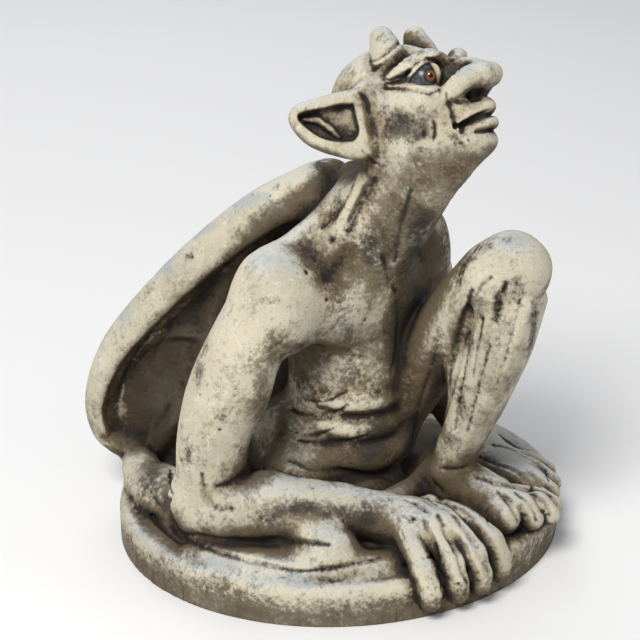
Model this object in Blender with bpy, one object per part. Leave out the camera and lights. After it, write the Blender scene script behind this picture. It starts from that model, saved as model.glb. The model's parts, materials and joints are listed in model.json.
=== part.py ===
"""A seated stone gargoyle, cast in one piece with the oval base that it sits on.

Metres, +Z up. The origin is the middle of the base's underside. The figure faces -Y, its left side is +X.
"""
import math

import bmesh
import bpy
import numpy as np
from mathutils import Matrix, Vector

# Driving dimensions of the base, in metres and degrees
BASE_LENGTH = 0.240
BASE_WIDTH = 0.2126
BASE_HEIGHT = 0.022
BASE_TURN = -26.5
RIM_ROUND = 0.006
FOOT_ROUND = 0.0015
GROOVE_INSET = 0.0135
GROOVE_WIDTH = 0.0032
GROOVE_DEPTH = 0.0016
BASE_SEGMENTS = 72

# Driving dimension of the figure: its height above the base. Everything in the figure is a share of it,
# counted in figure units. Figure heights start FLOOR units under the top of the base.
FIGURE_HEIGHT = 0.257
FIGURE_UNITS = 257.0
FLOOR = 22.0
UNIT = FIGURE_HEIGHT / FIGURE_UNITS

# How finely the figure is carved, in figure units, and how many triangles it may keep
GRAIN = 1.5
POLISH_STEPS = 3
FIGURE_TRIANGLES = 7000

# The head: where the middle of the skull is, and how it turns, looks up and tilts, in degrees
SKULL = (8, -32, 240)
HEAD_YAW = 18
HEAD_PITCH = 25
HEAD_ROLL = 13

# The left eye and its socket, in the head's frame: forward, outward and up. The right one is its mirror image.
EYE_PLACE = (24.5, 13.5, 6.3)
EYE_RADIUS = 7.6
SOCKET_PLACE = (28.5, 15.5, 6.5)
SOCKET_RADII = (7.5, 6.5, 5.5)

# The wings: their thickness and where its middle is behind the leading bar, then the crest on the bar and
# the fold under it, each as shares of the bar's radius: across, outward and its own radius
WING_THICKNESS = 9
WING_MIDDLE = -5
CREST_ACROSS = -0.15
CREST_OUT = 0.55
CREST_SHARE = 0.5
UNDERCUT_ACROSS = -1.15
UNDERCUT_OUT = 0.75
UNDERCUT_SHARE = 0.62

# The ears and how far their hollows reach through them
EAR_THICKNESS = 8
EAR_HOLLOW_DEPTH = 9
EAR_HOLLOW_MIDDLE = 5

SPINE_RADIUS = 9

STONE_COLOUR = (0.56, 0.53, 0.44, 1)
STONE_ROUGHNESS = 0.82

SIDES = (-1, 1)


class Frame:
    """A local frame in figure units: an origin and three axes, as the rows of a matrix."""

    def __init__(self, origin, x, y, z):
        self.origin = np.array(origin, float)
        self.rows = np.array([unit(x), unit(y), unit(z)])

    def world(self, point):
        return self.origin + np.array(point, float) @ self.rows

    def turn(self, direction):
        return np.array(direction, float) @ self.rows


def unit(vector):
    vector = np.array(vector, float)
    return vector / np.linalg.norm(vector)


FIGURE = Frame((0, 0, 0), (1, 0, 0), (0, 1, 0), (0, 0, 1))


def head_frame():
    """x points along the nose, y to the figure's left, z to the crown."""
    yaw, pitch, roll = np.radians([HEAD_YAW, HEAD_PITCH, HEAD_ROLL])
    level = np.array([math.sin(yaw), -math.cos(yaw), 0])
    left = np.array([math.cos(yaw), math.sin(yaw), 0])
    up = np.array([0, 0, 1])
    nose = level * math.cos(pitch) + up * math.sin(pitch)
    crown = up * math.cos(pitch) - level * math.sin(pitch)
    return Frame(SKULL, nose, left * math.cos(roll) - crown * math.sin(roll),
                 crown * math.cos(roll) + left * math.sin(roll))


def place(point):
    """A point in figure units, as a place in metres."""
    x, y, z = point
    return Vector((x * UNIT, y * UNIT, BASE_HEIGHT + (z - FLOOR) * UNIT))


def smooth_path(points, per_span=5):
    """A smooth curve through points, each a row of numbers."""
    points = np.array(points, float)
    if len(points) < 3:
        return points
    ends = np.vstack([2 * points[0] - points[1], points, 2 * points[-1] - points[-2]])
    curve = []
    for a, b, c, d in zip(ends, ends[1:], ends[2:], ends[3:]):
        for t in np.arange(per_span) / per_span:
            curve.append(0.5 * (2 * b + (c - a) * t + (2 * a - 5 * b + 4 * c - d) * t**2
                                + (3 * b - a - 3 * c + d) * t**3))
    curve.append(points[-1])
    return np.array(curve)


def ball(clay, centre, radii, frame=FIGURE, segments=28, rings=18):
    """An ellipsoid with its radii along the frame's axes."""
    made = bmesh.ops.create_uvsphere(clay, u_segments=segments, v_segments=rings, radius=1)
    for vert in made["verts"]:
        vert.co = place(frame.world(np.array(centre) + np.array(vert.co) * radii))


def limb(clay, points, radii, frame=FIGURE, squash=1.0, segments=20, cap_rings=5):
    """A round, tapering limb along a smooth curve, with domed ends. squash flattens it along the frame's z."""
    rows = smooth_path([list(p) + [r] for p, r in zip(points, radii)])
    first, last = rows[0], rows[-1]
    start = unit(rows[1][:3] - first[:3])
    end = unit(last[:3] - rows[-2][:3])
    turns = np.radians(np.linspace(90, 0, cap_rings, endpoint=False))
    front = [np.append(first[:3] - start * first[3] * math.sin(a), first[3] * math.cos(a)) for a in turns]
    back = [np.append(last[:3] + end * last[3] * math.sin(a), last[3] * math.cos(a)) for a in turns[::-1]]
    rows = np.array(front[1:] + list(rows) + back[:-1])
    centres = rows[:, :3]
    along = np.gradient(centres, axis=0)
    side = unit(np.cross(along[0], (0.31, 0.17, 0.93)))
    rings = []
    for centre, way, radius in zip(centres, along, rows[:, 3]):
        way = unit(way)
        side = unit(side - way * (side @ way))
        up = np.cross(way, side)
        ring = []
        for angle in np.linspace(0, 2 * math.pi, segments, endpoint=False):
            out = radius * (side * math.cos(angle) + up * math.sin(angle))
            out[2] *= squash
            ring.append(clay.verts.new(place(frame.world(centre + out))))
        rings.append(ring)
    for one, other in zip(rings, rings[1:]):
        for a, b, c, d in zip(one, one[1:] + one[:1], other[1:] + other[:1], other):
            clay.faces.new((a, b, c, d))
    clay.faces.new(rings[0][::-1])
    clay.faces.new(rings[-1])


def slab(clay, outline, frame, thickness, middle=0.0):
    """A flat plate: an outline in the frame's x and y, and a thickness along its z."""
    lower = [clay.verts.new(place(frame.world((x, y, middle - thickness / 2)))) for x, y in outline]
    upper = [clay.verts.new(place(frame.world((x, y, middle + thickness / 2)))) for x, y in outline]
    for a, b, c, d in zip(lower, lower[1:] + lower[:1], upper[1:] + upper[:1], upper):
        clay.faces.new((a, b, c, d))
    clay.faces.new(lower[::-1])
    clay.faces.new(upper)


def mound(clay):
    """The low swell inside the rim, and the roll of it that the right forearm lies behind."""
    ball(clay, (0, 8, 20), (92, 84, 12), segments=48)
    roll = [(-96, -4, 19), (-90, -28, 20), (-73, -52, 20), (-54, -68, 20), (-37, -77, 21)]
    limb(clay, roll, [12, 12.5, 12, 11, 9], squash=0.8)


def rock(clay):
    """The rough ground behind the right elbow, which the tip of the wing stands on."""
    ball(clay, (-82, 46, 28), (13, 20, 13))
    limb(clay, [(-88, 28, 25), (-87, 48, 27), (-80, 70, 27), (-70, 88, 27)], [9, 11, 11, 9])
    limb(clay, [(72, 84, 26), (58, 92, 26)], [10, 9])


def torso(clay):
    ball(clay, (1, 3, 50), (38, 36, 32))
    ball(clay, (1, -2, 80), (29, 30, 42))
    ball(clay, (4, -3, 120), (33, 30, 43))
    limb(clay, [(-38, -3, 148), (0, 2, 154), (38, -3, 150)], [17, 18, 17])
    for side in SIDES:
        ball(clay, (side * 20, -18, 136), (22, 12, 20))
        ball(clay, (side * 21, 20, 48), (22, 22, 25))
        ball(clay, (side * 22, 22, 132), (16, 12, 26))
        slope = [(side * 50, -4, 158), (side * 34, -3, 167), (side * 18, -10, 179), (side * 9, -18, 192)]
        limb(clay, slope, [14, 11, 11, 12])
    spine = [(0, 30, 56), (0, 32, 100), (0, 27, 140), (1, 12, 172), (4, -4, 198)]
    limb(clay, spine, [SPINE_RADIUS] * len(spine))
    for height, radius in ((82, 5), (70, 6), (54, 9)):
        roll = [(-25, -14, height + 1), (-16, -26, height), (0, -31, height - 1), (16, -26, height - 1)]
        limb(clay, roll, [radius * 0.8, radius, radius, radius * 0.8])


def neck(clay):
    limb(clay, [(0, -6, 148), (1, -18, 168), (4, -32, 188), (7, -40, 206), (8, -38, 220)], [29, 25, 23, 23, 24])
    cord = [(-27, -14, 162), (-21, -22, 178), (-17, -28, 194), (-14, -33, 208)]
    limb(clay, cord, [6, 6, 5, 5])


# A wing's leading bar, in its frame, from the root over the top to the tip, and its radii there.
# The last points curl under, where the bar has no crest.
WING_BAR = [(0, 187), (28, 171), (64, 140), (97, 104), (112, 81), (119, 59), (117, 43), (110, 34.5),
            (100, 30)]
WING_BAR_RADII = [14, 13.5, 12.5, 11, 9.5, 8, 7.5, 7, 7]
WING_TIP_POINTS = 2


def wing_frame(side):
    """x runs back along the folded wing, y up, z out of its outer face."""
    along = (side * 0.643, 0.766, 0)
    return Frame((side * 5, 15, 0), along, (0, 0, 1), np.cross(along, (0, 0, 1)) * side)


def beside_bar(across, out):
    """The bar's path, moved towards its outer edge and out of the wing's face by shares of its radius."""
    path = np.array(WING_BAR, float)
    along = np.gradient(path, axis=0)
    along /= np.linalg.norm(along, axis=1, keepdims=True)
    radii = np.array(WING_BAR_RADII)[:, None]
    moved = path + np.column_stack([-along[:, 1], along[:, 0]]) * radii * across
    return np.column_stack([moved, radii * out])


def wing(clay, side):
    """One folded wing: a thick leading bar that curls under at its tip, a membrane and the ribs on its back."""
    frame = wing_frame(side)
    outline = WING_BAR[:-WING_TIP_POINTS] + [(110, 33), (98, 26), (70, 20), (0, 20)]
    slab(clay, outline[::-side], frame, WING_THICKNESS, WING_MIDDLE)
    limb(clay, beside_bar(0, 0), WING_BAR_RADII, frame)
    crest_radii = [radius * CREST_SHARE for radius in WING_BAR_RADII[:-WING_TIP_POINTS]]
    limb(clay, beside_bar(CREST_ACROSS, CREST_OUT)[:-WING_TIP_POINTS], crest_radii, frame)
    finger_bone = [(30, 165, -3), (52, 120, -2), (62, 80, -1), (78, 48, -1), (90, 30, -2)]
    limb(clay, finger_bone, [6, 5.5, 5, 5, 5], frame)
    ribs = [[(40, 160, -8), (80, 100, -8), (100, 36, -7)],
            [(25, 160, -8), (52, 90, -9), (66, 28, -8)],
            [(12, 160, -8), (26, 90, -9), (32, 28, -8)]]
    for rib in ribs:
        limb(clay, rib, [6, 5, 4], frame)


def right_arm(clay):
    ball(clay, (-50, -6, 143), (23, 24, 27))
    upper_arm = [(-45, -5, 150), (-63.5, -2.5, 128), (-76.5, 1.5, 103), (-84.5, 2.5, 78), (-88, 2, 50)]
    limb(clay, upper_arm, [20, 19.2, 19, 18.3, 17])
    ball(clay, (-70, -10, 112), (11, 10, 24))
    ball(clay, (-87, 3, 38), (19, 19, 17))
    ball(clay, (-94, 9, 46), (12, 12, 12))
    limb(clay, [(-84, -8, 42), (-66, -26, 42), (-45, -43, 40), (-26, -58, 37)], [18.5, 17, 14.5, 11.5])
    ball(clay, (-70, -20, 49), (15, 13, 10))


def right_hand(clay):
    """The hand that grips the rim: four long fingers hang over it, the thumb lies inwards."""
    limb(clay, [(-27, -57, 35), (-18, -70, 33), (-12, -82, 32)], [12.5, 16, 16], squash=0.85)
    fingers = [[(-24, -70, 36), (-29.5, -84, 32.5), (-33, -96, 25), (-34.5, -102.5, 17), (-34.5, -103.5, 11)],
               [(-17, -72, 37), (-18.5, -90, 34.5), (-19.5, -102, 26), (-19.8, -106.5, 17), (-19, -107.5, 11)],
               [(-10, -72, 37), (-7.5, -92, 35.5), (-6.5, -105, 27), (-6.4, -109.5, 18), (-6.4, -110.5, 12)],
               [(-3, -70, 37), (4, -88, 35.5), (8, -103, 28), (9.3, -108.5, 19), (9.4, -109.5, 13)]]
    for finger in fingers:
        limb(clay, finger, [7, 6.5, 6.1, 5.9, 5.5], segments=16)
        ball(clay, finger[2], (6.8, 6.6, 6.6), segments=16, rings=10)
    limb(clay, [(-20, -56, 37), (-4, -53, 37), (11, -50, 36)], [9, 7.5, 7])


def right_leg(clay):
    """Folded flat behind the forearm, with its foot under the left thigh."""
    limb(clay, [(-24, 0, 42), (-56, -26, 34), (-58, -58, 28)], [24, 18, 13])
    limb(clay, [(-52, -46, 30), (-22, -36, 31), (6, -28, 31)], [13, 13, 11])


def left_leg(clay):
    """Drawn up, with the knee as high as the shoulder."""
    ball(clay, (24, 2, 50), (25, 28, 27))
    limb(clay, [(24, -4, 56), (29, -30, 92), (31, -54, 128), (32, -76, 156)], [22, 18.5, 18, 18.5])
    limb(clay, [(37, -83, 161), (34, -82, 130), (28, -74, 95), (21, -66, 62), (19, -62, 46)],
         [17, 16.5, 15, 11.5, 11])
    ball(clay, (37, -83, 164), (17.5, 17, 17))
    ball(clay, (41, -92, 162), (11, 9, 13))
    ball(clay, (30, -64, 108), (13, 12, 26))
    limb(clay, [(31, -97, 148), (26, -91, 118), (20, -80, 88), (15, -70, 58)], [5, 4.5, 4, 4])
    limb(clay, [(46, -93, 146), (40, -88, 116), (33, -78, 88)], [5.5, 5, 4])
    for ankle_bone in ((11, -64, 50), (27, -60, 49)):
        ball(clay, ankle_bone, (5, 6, 6))


def left_foot(clay):
    ball(clay, (20, -56, 36), (13, 16, 14))
    limb(clay, [(22, -62, 42), (28, -78, 37), (34, -90, 32)], [13, 12.5, 11])
    toes = [[(24, -78, 34), (25.5, -88, 33), (26, -95, 31)], [(33, -84, 35), (38, -97, 34), (40, -102.5, 28)],
            [(40, -84, 33), (48, -99, 32), (51, -104.5, 27)], [(46, -80, 31), (56, -92, 30), (61, -98, 26)]]
    for toe, radius in zip(toes, (9.5, 6.5, 6, 5.5)):
        limb(clay, toe, [radius, radius * 0.92, radius * 0.95], segments=16)
        ball(clay, toe[1], (radius * 1.04, radius * 1.04, radius * 1.08), segments=16, rings=10)


def left_arm(clay):
    ball(clay, (43, -6, 147), (21, 22, 26))
    limb(clay, [(40, -5, 150), (54, -2, 125), (66, 0, 98), (73, -3, 70), (75, -5, 60)], [21, 20, 19, 17.5, 16])
    limb(clay, [(75, -6, 58), (73, -22, 44), (70, -38, 34)], [16, 13, 11])


def left_hand(clay):
    limb(clay, [(70, -38, 33), (68, -52, 31), (66, -62, 29)], [11, 14, 14], squash=0.62)
    fingers = [[(56, -58, 30), (59, -70, 31), (63, -81, 26)], [(63, -58, 31), (67, -74, 31), (71, -87, 25)],
               [(71, -54, 30), (76, -68, 30), (81, -80, 24)], [(76, -48, 29), (84, -60, 28), (90, -69, 24)]]
    for finger, radius in zip(fingers, (7, 6.6, 6.2, 5.6)):
        limb(clay, finger, [radius, radius, radius * 0.9], segments=16)


def ear_frame(head, side):
    """x runs back along the ear, y up, z out of its hollow."""
    back = head.turn((-0.77, side * 0.64, 0))
    up = head.turn((0, 0, 1))
    return Frame(head.world((-9, side * 25, 0)), back, up, np.cross(back, up) * side)


def ear(clay, head, side):
    frame = ear_frame(head, side)
    outline = [(-6, 11), (8, 11), (20, 10.5), (28, 9.5), (32, 4.5), (31, -2), (27, -9), (20, -15), (13, -19),
               (5, -22.5), (-3, -23), (-6, -15)]
    slab(clay, smooth_path(outline, 3)[::-side], frame, EAR_THICKNESS)


def head_forms(clay):
    head = head_frame()
    ball(clay, (-4, 0, 4), (32, 25, 25.5), head)
    ball(clay, (14, 0, -6), (29, 22, 23), head)
    limb(clay, [(34, 0, -29), (20, 0, -33), (2, 0, -38)], [7, 12, 16], head)
    limb(clay, [(28, 0, 6), (40, 0, 5), (47.5, 0, 0.5)], [7, 6.5, 7.2], head)
    ball(clay, (33, 0, -13), (14, 13, 10), head)
    upper_lip = [(34, -11, -19), (43, -6, -15.5), (47, 0, -13.5), (43, 6, -15.5), (34, 11, -19)]
    limb(clay, upper_lip, [2.6, 3, 3, 3, 2.6], head)
    ball(clay, (37, 0, -29), (9, 10, 6.5), head)
    for side in SIDES:
        jaw = [(-4, side * 15, -18), (16, side * 12.5, -23), (32, side * 5, -26.5)]
        limb(clay, jaw, [9, 8.5, 8.5], head)
        ball(clay, (20, side * 17, -4), (12, 6, 8), head)
        nostril_wing = [(49.5, side * 4, 0.5), (43.5, side * 9.5, 0), (35.5, side * 12.5, -4.4)]
        limb(clay, nostril_wing, [6, 5.6, 5.2], head)
        brow = [(33, side * 7, 12), (29.5, side * 14, 14.5), (22, side * 20, 13.5), (12, side * 23, 10)]
        limb(clay, brow, [3.4, 4.6, 3.4, 2], head)
        limb(clay, [(9.5, side * 15, 21), (8.5, side * 15, 30.5)], [8.8, 5.6], head)
        ear(clay, head, side)


def creases(cutter):
    """The deep folds under the crest of each wing and between the left thigh and shin."""
    for side in SIDES:
        radii = [radius * UNDERCUT_SHARE for radius in WING_BAR_RADII[:-WING_TIP_POINTS]]
        path = beside_bar(UNDERCUT_ACROSS, UNDERCUT_OUT)[:-WING_TIP_POINTS]
        limb(cutter, path, radii, wing_frame(side), segments=14)
    knee_fold = [(19, -78, 154), (16, -74, 138), (14.5, -70, 121), (13, -66, 103), (13, -61, 88), (14, -57, 74)]
    limb(cutter, knee_fold, [1.5, 3, 3.5, 4, 5, 5], segments=12)


def head_hollows(cutter):
    """What is carved into the head: the mouth, the nostrils, the eye sockets and the hollows of the ears."""
    head = head_frame()
    mouth = [(34, -13, -20), (44, -8, -18.4), (54, 0, -18.2), (44, 8, -18.4), (34, 13, -20)]
    limb(cutter, mouth, [1.5, 2.2, 2.4, 2.2, 1.5], head, segments=10)
    for side in SIDES:
        ball(cutter, (45, side * 5.5, -8), (5, 3.2, 2.8), head, segments=10, rings=6)
        frame = ear_frame(head, side)
        hollow = [(1, 3), (8, 4.6), (20, 4.8), (27.5, 4.2), (26, -1), (20, -8), (12, -12), (4, -13), (0, -7)]
        slab(cutter, hollow[::-side], frame, EAR_HOLLOW_DEPTH, EAR_HOLLOW_MIDDLE)


def mirrored(point, side):
    """A place in the head's frame, on the side that is asked for."""
    forward, outward, up = point
    return forward, side * outward, up


def eye_sockets(cutter):
    head = head_frame()
    for side in SIDES:
        ball(cutter, mirrored(SOCKET_PLACE, side), SOCKET_RADII, head, segments=14, rings=8)


def eyes(clay):
    head = head_frame()
    for side in SIDES:
        ball(clay, mirrored(EYE_PLACE, side), [EYE_RADIUS] * 3, head, segments=16, rings=10)


def base_ring(clay, inset, height):
    """One ring of the base, inset from its outline."""
    ring = []
    for angle in np.linspace(0, 2 * math.pi, BASE_SEGMENTS, endpoint=False):
        x = (BASE_LENGTH / 2 - inset) * math.cos(angle)
        y = (BASE_WIDTH / 2 - inset) * math.sin(angle)
        ring.append(clay.verts.new(Matrix.Rotation(math.radians(BASE_TURN), 3, "Z") @ Vector((x, y, height))))
    return ring


def base(clay, rim_steps=3):
    """The oval base: a flat underside, a rounded rim and a groove cut round the top."""
    rings = [base_ring(clay, FOOT_ROUND, 0), base_ring(clay, 0, FOOT_ROUND)]
    for angle in np.linspace(0, math.pi / 2, rim_steps + 1):
        rings.append(base_ring(clay, RIM_ROUND * (1 - math.cos(angle)),
                               BASE_HEIGHT - RIM_ROUND * (1 - math.sin(angle))))
    for inset, depth in ((0, 0), (GROOVE_WIDTH / 2, GROOVE_DEPTH), (GROOVE_WIDTH, 0)):
        rings.append(base_ring(clay, GROOVE_INSET + inset, BASE_HEIGHT - depth))
    for one, other in zip(rings, rings[1:]):
        for a, b, c, d in zip(one, one[1:] + one[:1], other[1:] + other[:1], other):
            clay.faces.new((a, b, c, d))
    clay.faces.new(rings[0][::-1])
    clay.faces.new(rings[-1])


def stone():
    material = bpy.data.materials.new("cast_stone")
    material.use_nodes = True
    shader = material.node_tree.nodes["Principled BSDF"]
    shader.inputs["Base Color"].default_value = STONE_COLOUR
    shader.inputs["Roughness"].default_value = STONE_ROUGHNESS
    shader.inputs["Metallic"].default_value = 0
    return material


def solid(name, forms, guide=False):
    """An object whose mesh holds these forms, each a closed body of its own."""
    clay = bmesh.new()
    for form in forms:
        form(clay)
    bmesh.ops.recalc_face_normals(clay, faces=clay.faces)
    mesh = bpy.data.meshes.new(name)
    clay.to_mesh(mesh)
    clay.free()
    made = bpy.data.objects.new(name, mesh)
    bpy.context.scene.collection.objects.link(made)
    if guide:
        made.hide_render = True
        made.display_type = "WIRE"
    return made


def join(target, operation, other):
    boolean = target.modifiers.new(operation.lower(), "BOOLEAN")
    boolean.operation = operation
    boolean.object = other
    boolean.solver = "EXACT"


def as_modelled(made):
    """The mesh of an object with its modifiers applied."""
    seen = made.evaluated_get(bpy.context.evaluated_depsgraph_get())
    return bpy.data.meshes.new_from_object(seen)


def both_wings(clay):
    for side in SIDES:
        wing(clay, side)


def reskin(made, name):
    """Gives an object one even skin round all its bodies."""
    skin = made.modifiers.new(name, "REMESH")
    skin.mode = "VOXEL"
    skin.voxel_size = GRAIN * UNIT


def carve_figure():
    """Fuses the figure's forms into one skin, cuts the deep folds, smooths it and thins it out."""
    forms = [mound, rock, torso, neck, both_wings, right_arm, right_hand, right_leg, left_leg, left_foot,
             left_arm, left_hand, head_forms]
    made = solid("gargoyle", forms)
    reskin(made, "fuse")
    join(made, "DIFFERENCE", solid("creases", [creases], guide=True))
    reskin(made, "heal")
    polish = made.modifiers.new("polish", "SMOOTH")
    polish.factor = 0.5
    polish.iterations = POLISH_STEPS
    rough = made.data
    made.data = as_modelled(made)
    made.modifiers.clear()
    bpy.data.meshes.remove(rough)
    thin = made.modifiers.new("thin", "DECIMATE")
    thin.ratio = FIGURE_TRIANGLES / (2 * len(made.data.polygons))
    thin.use_collapse_triangulate = True
    return made


def main():
    for old in list(bpy.data.objects):
        bpy.data.objects.remove(old)
    gargoyle = carve_figure()
    join(gargoyle, "DIFFERENCE", solid("eye_sockets", [eye_sockets], guide=True))
    join(gargoyle, "UNION", solid("eyes", [eyes], guide=True))
    join(gargoyle, "DIFFERENCE", solid("hollows", [head_hollows], guide=True))
    join(gargoyle, "UNION", solid("base", [base], guide=True))
    gargoyle.data.shade_smooth()
    gargoyle.data.materials.clear()
    gargoyle.data.materials.append(stone())


main()
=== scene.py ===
"""The looks of a seated stone gargoyle: its carved and worn surface, painted eyes, floor, light and camera.

The figure is modelled as a signed distance on a grid: forms are merged into it softly, lines are pressed into
it, and its zero level becomes one mesh. Modelling is in figure units (millimetres at this size), in the frame
of the solids: origin under the middle of the base, +Z up, the chest faces -Y, the figure's left side is +X.
"""
import json
import math

import bmesh
import bpy
import numpy as np
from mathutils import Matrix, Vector, noise
from mathutils.kdtree import KDTree

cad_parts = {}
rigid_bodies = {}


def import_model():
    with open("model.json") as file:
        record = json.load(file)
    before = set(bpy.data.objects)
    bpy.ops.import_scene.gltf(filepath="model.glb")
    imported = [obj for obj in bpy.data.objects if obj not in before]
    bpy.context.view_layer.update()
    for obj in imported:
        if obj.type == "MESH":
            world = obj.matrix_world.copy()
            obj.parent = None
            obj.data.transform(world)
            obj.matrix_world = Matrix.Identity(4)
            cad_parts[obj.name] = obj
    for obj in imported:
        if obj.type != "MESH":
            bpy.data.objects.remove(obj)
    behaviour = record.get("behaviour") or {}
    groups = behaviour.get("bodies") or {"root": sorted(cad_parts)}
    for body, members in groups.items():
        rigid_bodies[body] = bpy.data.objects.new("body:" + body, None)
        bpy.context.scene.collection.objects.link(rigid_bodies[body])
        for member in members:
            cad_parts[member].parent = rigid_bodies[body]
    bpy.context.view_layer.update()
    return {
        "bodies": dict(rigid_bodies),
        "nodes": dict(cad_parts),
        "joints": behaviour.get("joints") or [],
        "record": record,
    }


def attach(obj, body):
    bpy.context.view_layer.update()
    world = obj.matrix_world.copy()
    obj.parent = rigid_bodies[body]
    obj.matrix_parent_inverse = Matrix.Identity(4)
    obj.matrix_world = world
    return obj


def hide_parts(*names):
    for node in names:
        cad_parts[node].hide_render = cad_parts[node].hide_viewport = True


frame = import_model()

UNIT = 0.001

# The base: its size, its turn in degrees, and how far its side stays inside the solid's
BASE_LENGTH, BASE_WIDTH, BASE_HEIGHT, BASE_TURN = 240.0, 212.6, 22.0, -26.5
SIDE_INSET, RIM_ROUND = 0.3, 6.0
GROOVE_INSET, GROOVE_WIDTH, GROOVE_DEPTH = 14.5, 1.1, 1.8

# The head: the middle of the skull, and its turn, upward look and tilt in degrees
SKULL = (8.0, -32.0, 240.0)
HEAD_YAW, HEAD_PITCH, HEAD_ROLL = 18.0, 25.0, 13.0
# An eye: its size, its place and gaze in the head's frame, and the rings and the glint painted on it
EYE_RADIUS = 7.6
EYE_PLACE = (24.5, 13.5, 6.3)
GAZE = (0.86, 0.5, -0.06)
PUPIL_RADIUS, IRIS_RADIUS, IRIS_EDGE = 1.35, 3.1, 0.5
GLINT_PLACE, GLINT_RADIUS = (0, -0.9, 0.8), 0.5

# The photograph's camera: its azimuth and elevation in degrees, its distance, the point it looks at, the
# photograph's side in pixels, how many of them a unit takes up at that point, and the sensor's width
CAMERA_AZIMUTH, CAMERA_ELEVATION, CAMERA_DISTANCE = -42.0, 24.0, 900.0
CAMERA_TARGET = (-8.2, 7.4, 118.0)
PHOTO_SIDE = 640.0
PIXELS_PER_UNIT = 1.92
SENSOR = 36.0

# The modelling grid: its steps, its ends along each axis with the spans where it is fine, over the head and
# over the hands and the left foot, and the distance that stands for far away
FINE_STEP, PLAIN_STEP, QUICK_STEP = 0.55, 0.85, 1.5
GRID = ((-128, 128, ((-45, 62),)), (-128, 122, ((-113, 12),)), (-4, 288, ((8, 46), (192, 284))))
FAR = 30.0
MOST_TRIANGLES = 194000

# A ray behind a pixel: how far before the target it starts, its steps, how near it stops, and its stride as a
# share of the distance left, with the least and the most that it may be
RAY_START, RAY_STEPS, RAY_STOP = 260.0, 260, 0.05
RAY_SHARE, RAY_LEAST, RAY_MOST = 0.7, 0.25, 6

# A pressed line: how far it acts in half-widths, how strong its faded ends stay, how far apart the places
# on it are that the paint needs, and the depth from which its wash is darkest
PRESS_REACH, FADED_END, DRAWN_SPACING, DARKEST_DEPTH = 2.6, 0.25, 0.35, 1.6

# The paint's search for shelter: how far it looks for crevices, hollows and deep places, in how many
# directions, and how far these lean over
CAVITY_REACH, HOLLOW_REACH, DEEP_REACH = 2.2, 9.0, 26.0
SHELTER_RAYS, SHELTER_LEAN = 12, 0.85

# The worn surface: how much noise lifts all of it and its rough ground, how close the noise is, and the
# height above the floor over which it sets in
WORN_LIFT, ROUGH_LIFT, WORN_SCALE, ROUGH_SCALE, LIFT_START = 0.16, 0.9, 0.11, 0.22, 3

# The studio: each light's name, place, size, power and tint, where they aim, the sky and the floor
LIGHTS = (("key", (-1.05, -0.45, 1.5), 0.7, 29, (1.0, 0.985, 0.96)),
          ("fill", (1.1, -1.2, 0.7), 1.1, 2, (0.95, 0.97, 1.0)),
          ("back", (0.5, 1.2, 1.2), 0.9, 6, (1, 1, 1)))
LIGHTS_AIM = (0, 0, 0.13)
SKY_COLOUR, SKY_STRENGTH = (0.93, 0.95, 1.0, 1), 0.38
FLOOR_HALF, FLOOR_COLOUR, FLOOR_ROUGHNESS = 6, (0.86, 0.86, 0.86, 1), 0.9

# The figure's right and left
SIDES = (-1, 1)


def mirrored(point, side):
    return point[0], side * point[1], point[2]


def unit(vector):
    vector = np.asarray(vector, float)
    return vector / np.linalg.norm(vector)


class Frame:
    """A local frame: an origin and three unit axes, as rows."""

    def __init__(self, origin, x, y, z):
        self.origin = np.asarray(origin, float)
        self.rows = np.array([unit(x), unit(y), unit(z)])

    def world(self, point):
        return self.origin + np.asarray(point, float) @ self.rows

    def turn(self, direction):
        return np.asarray(direction, float) @ self.rows

    def along(self, lines):
        """Open grids of x, y and z from this frame's origin, as distances along its axes."""
        x, y, z = lines
        return [np.float32(r[0]) * x + np.float32(r[1]) * y + np.float32(r[2]) * z for r in self.rows]


FIGURE = Frame((0, 0, 0), (1, 0, 0), (0, 1, 0), (0, 0, 1))


def head_frame():
    """x points along the nose, y to the figure's left, z to the crown."""
    yaw, pitch, roll = np.radians([HEAD_YAW, HEAD_PITCH, HEAD_ROLL])
    level = np.array([math.sin(yaw), -math.cos(yaw), 0])
    left = np.array([math.cos(yaw), math.sin(yaw), 0])
    up = np.array([0, 0, 1])
    nose = level * math.cos(pitch) + up * math.sin(pitch)
    crown = up * math.cos(pitch) - level * math.sin(pitch)
    return Frame(SKULL, nose, left * math.cos(roll) - crown * math.sin(roll),
                 crown * math.cos(roll) + left * math.sin(roll))


HEAD = head_frame()


class PhotoCamera:
    """The photograph's camera, which finds the ray behind each of its pixels."""

    def __init__(self):
        azimuth, elevation = np.radians([CAMERA_AZIMUTH, CAMERA_ELEVATION])
        self.right = np.array([math.cos(azimuth), math.sin(azimuth), 0])
        level = np.array([-math.sin(azimuth), math.cos(azimuth), 0])
        self.ahead = level * math.cos(elevation) - np.array([0, 0, math.sin(elevation)])
        self.up = np.cross(self.right, self.ahead)
        self.place = np.array(CAMERA_TARGET) - self.ahead * CAMERA_DISTANCE
        self.focal = PIXELS_PER_UNIT * CAMERA_DISTANCE

    def rays(self, pixels):
        across = (np.asarray(pixels, float) - PHOTO_SIDE / 2) / self.focal
        ways = self.ahead + across[:, :1] * self.right - across[:, 1:] * self.up
        return ways / np.linalg.norm(ways, axis=1, keepdims=True)


CAMERA = PhotoCamera()


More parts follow.
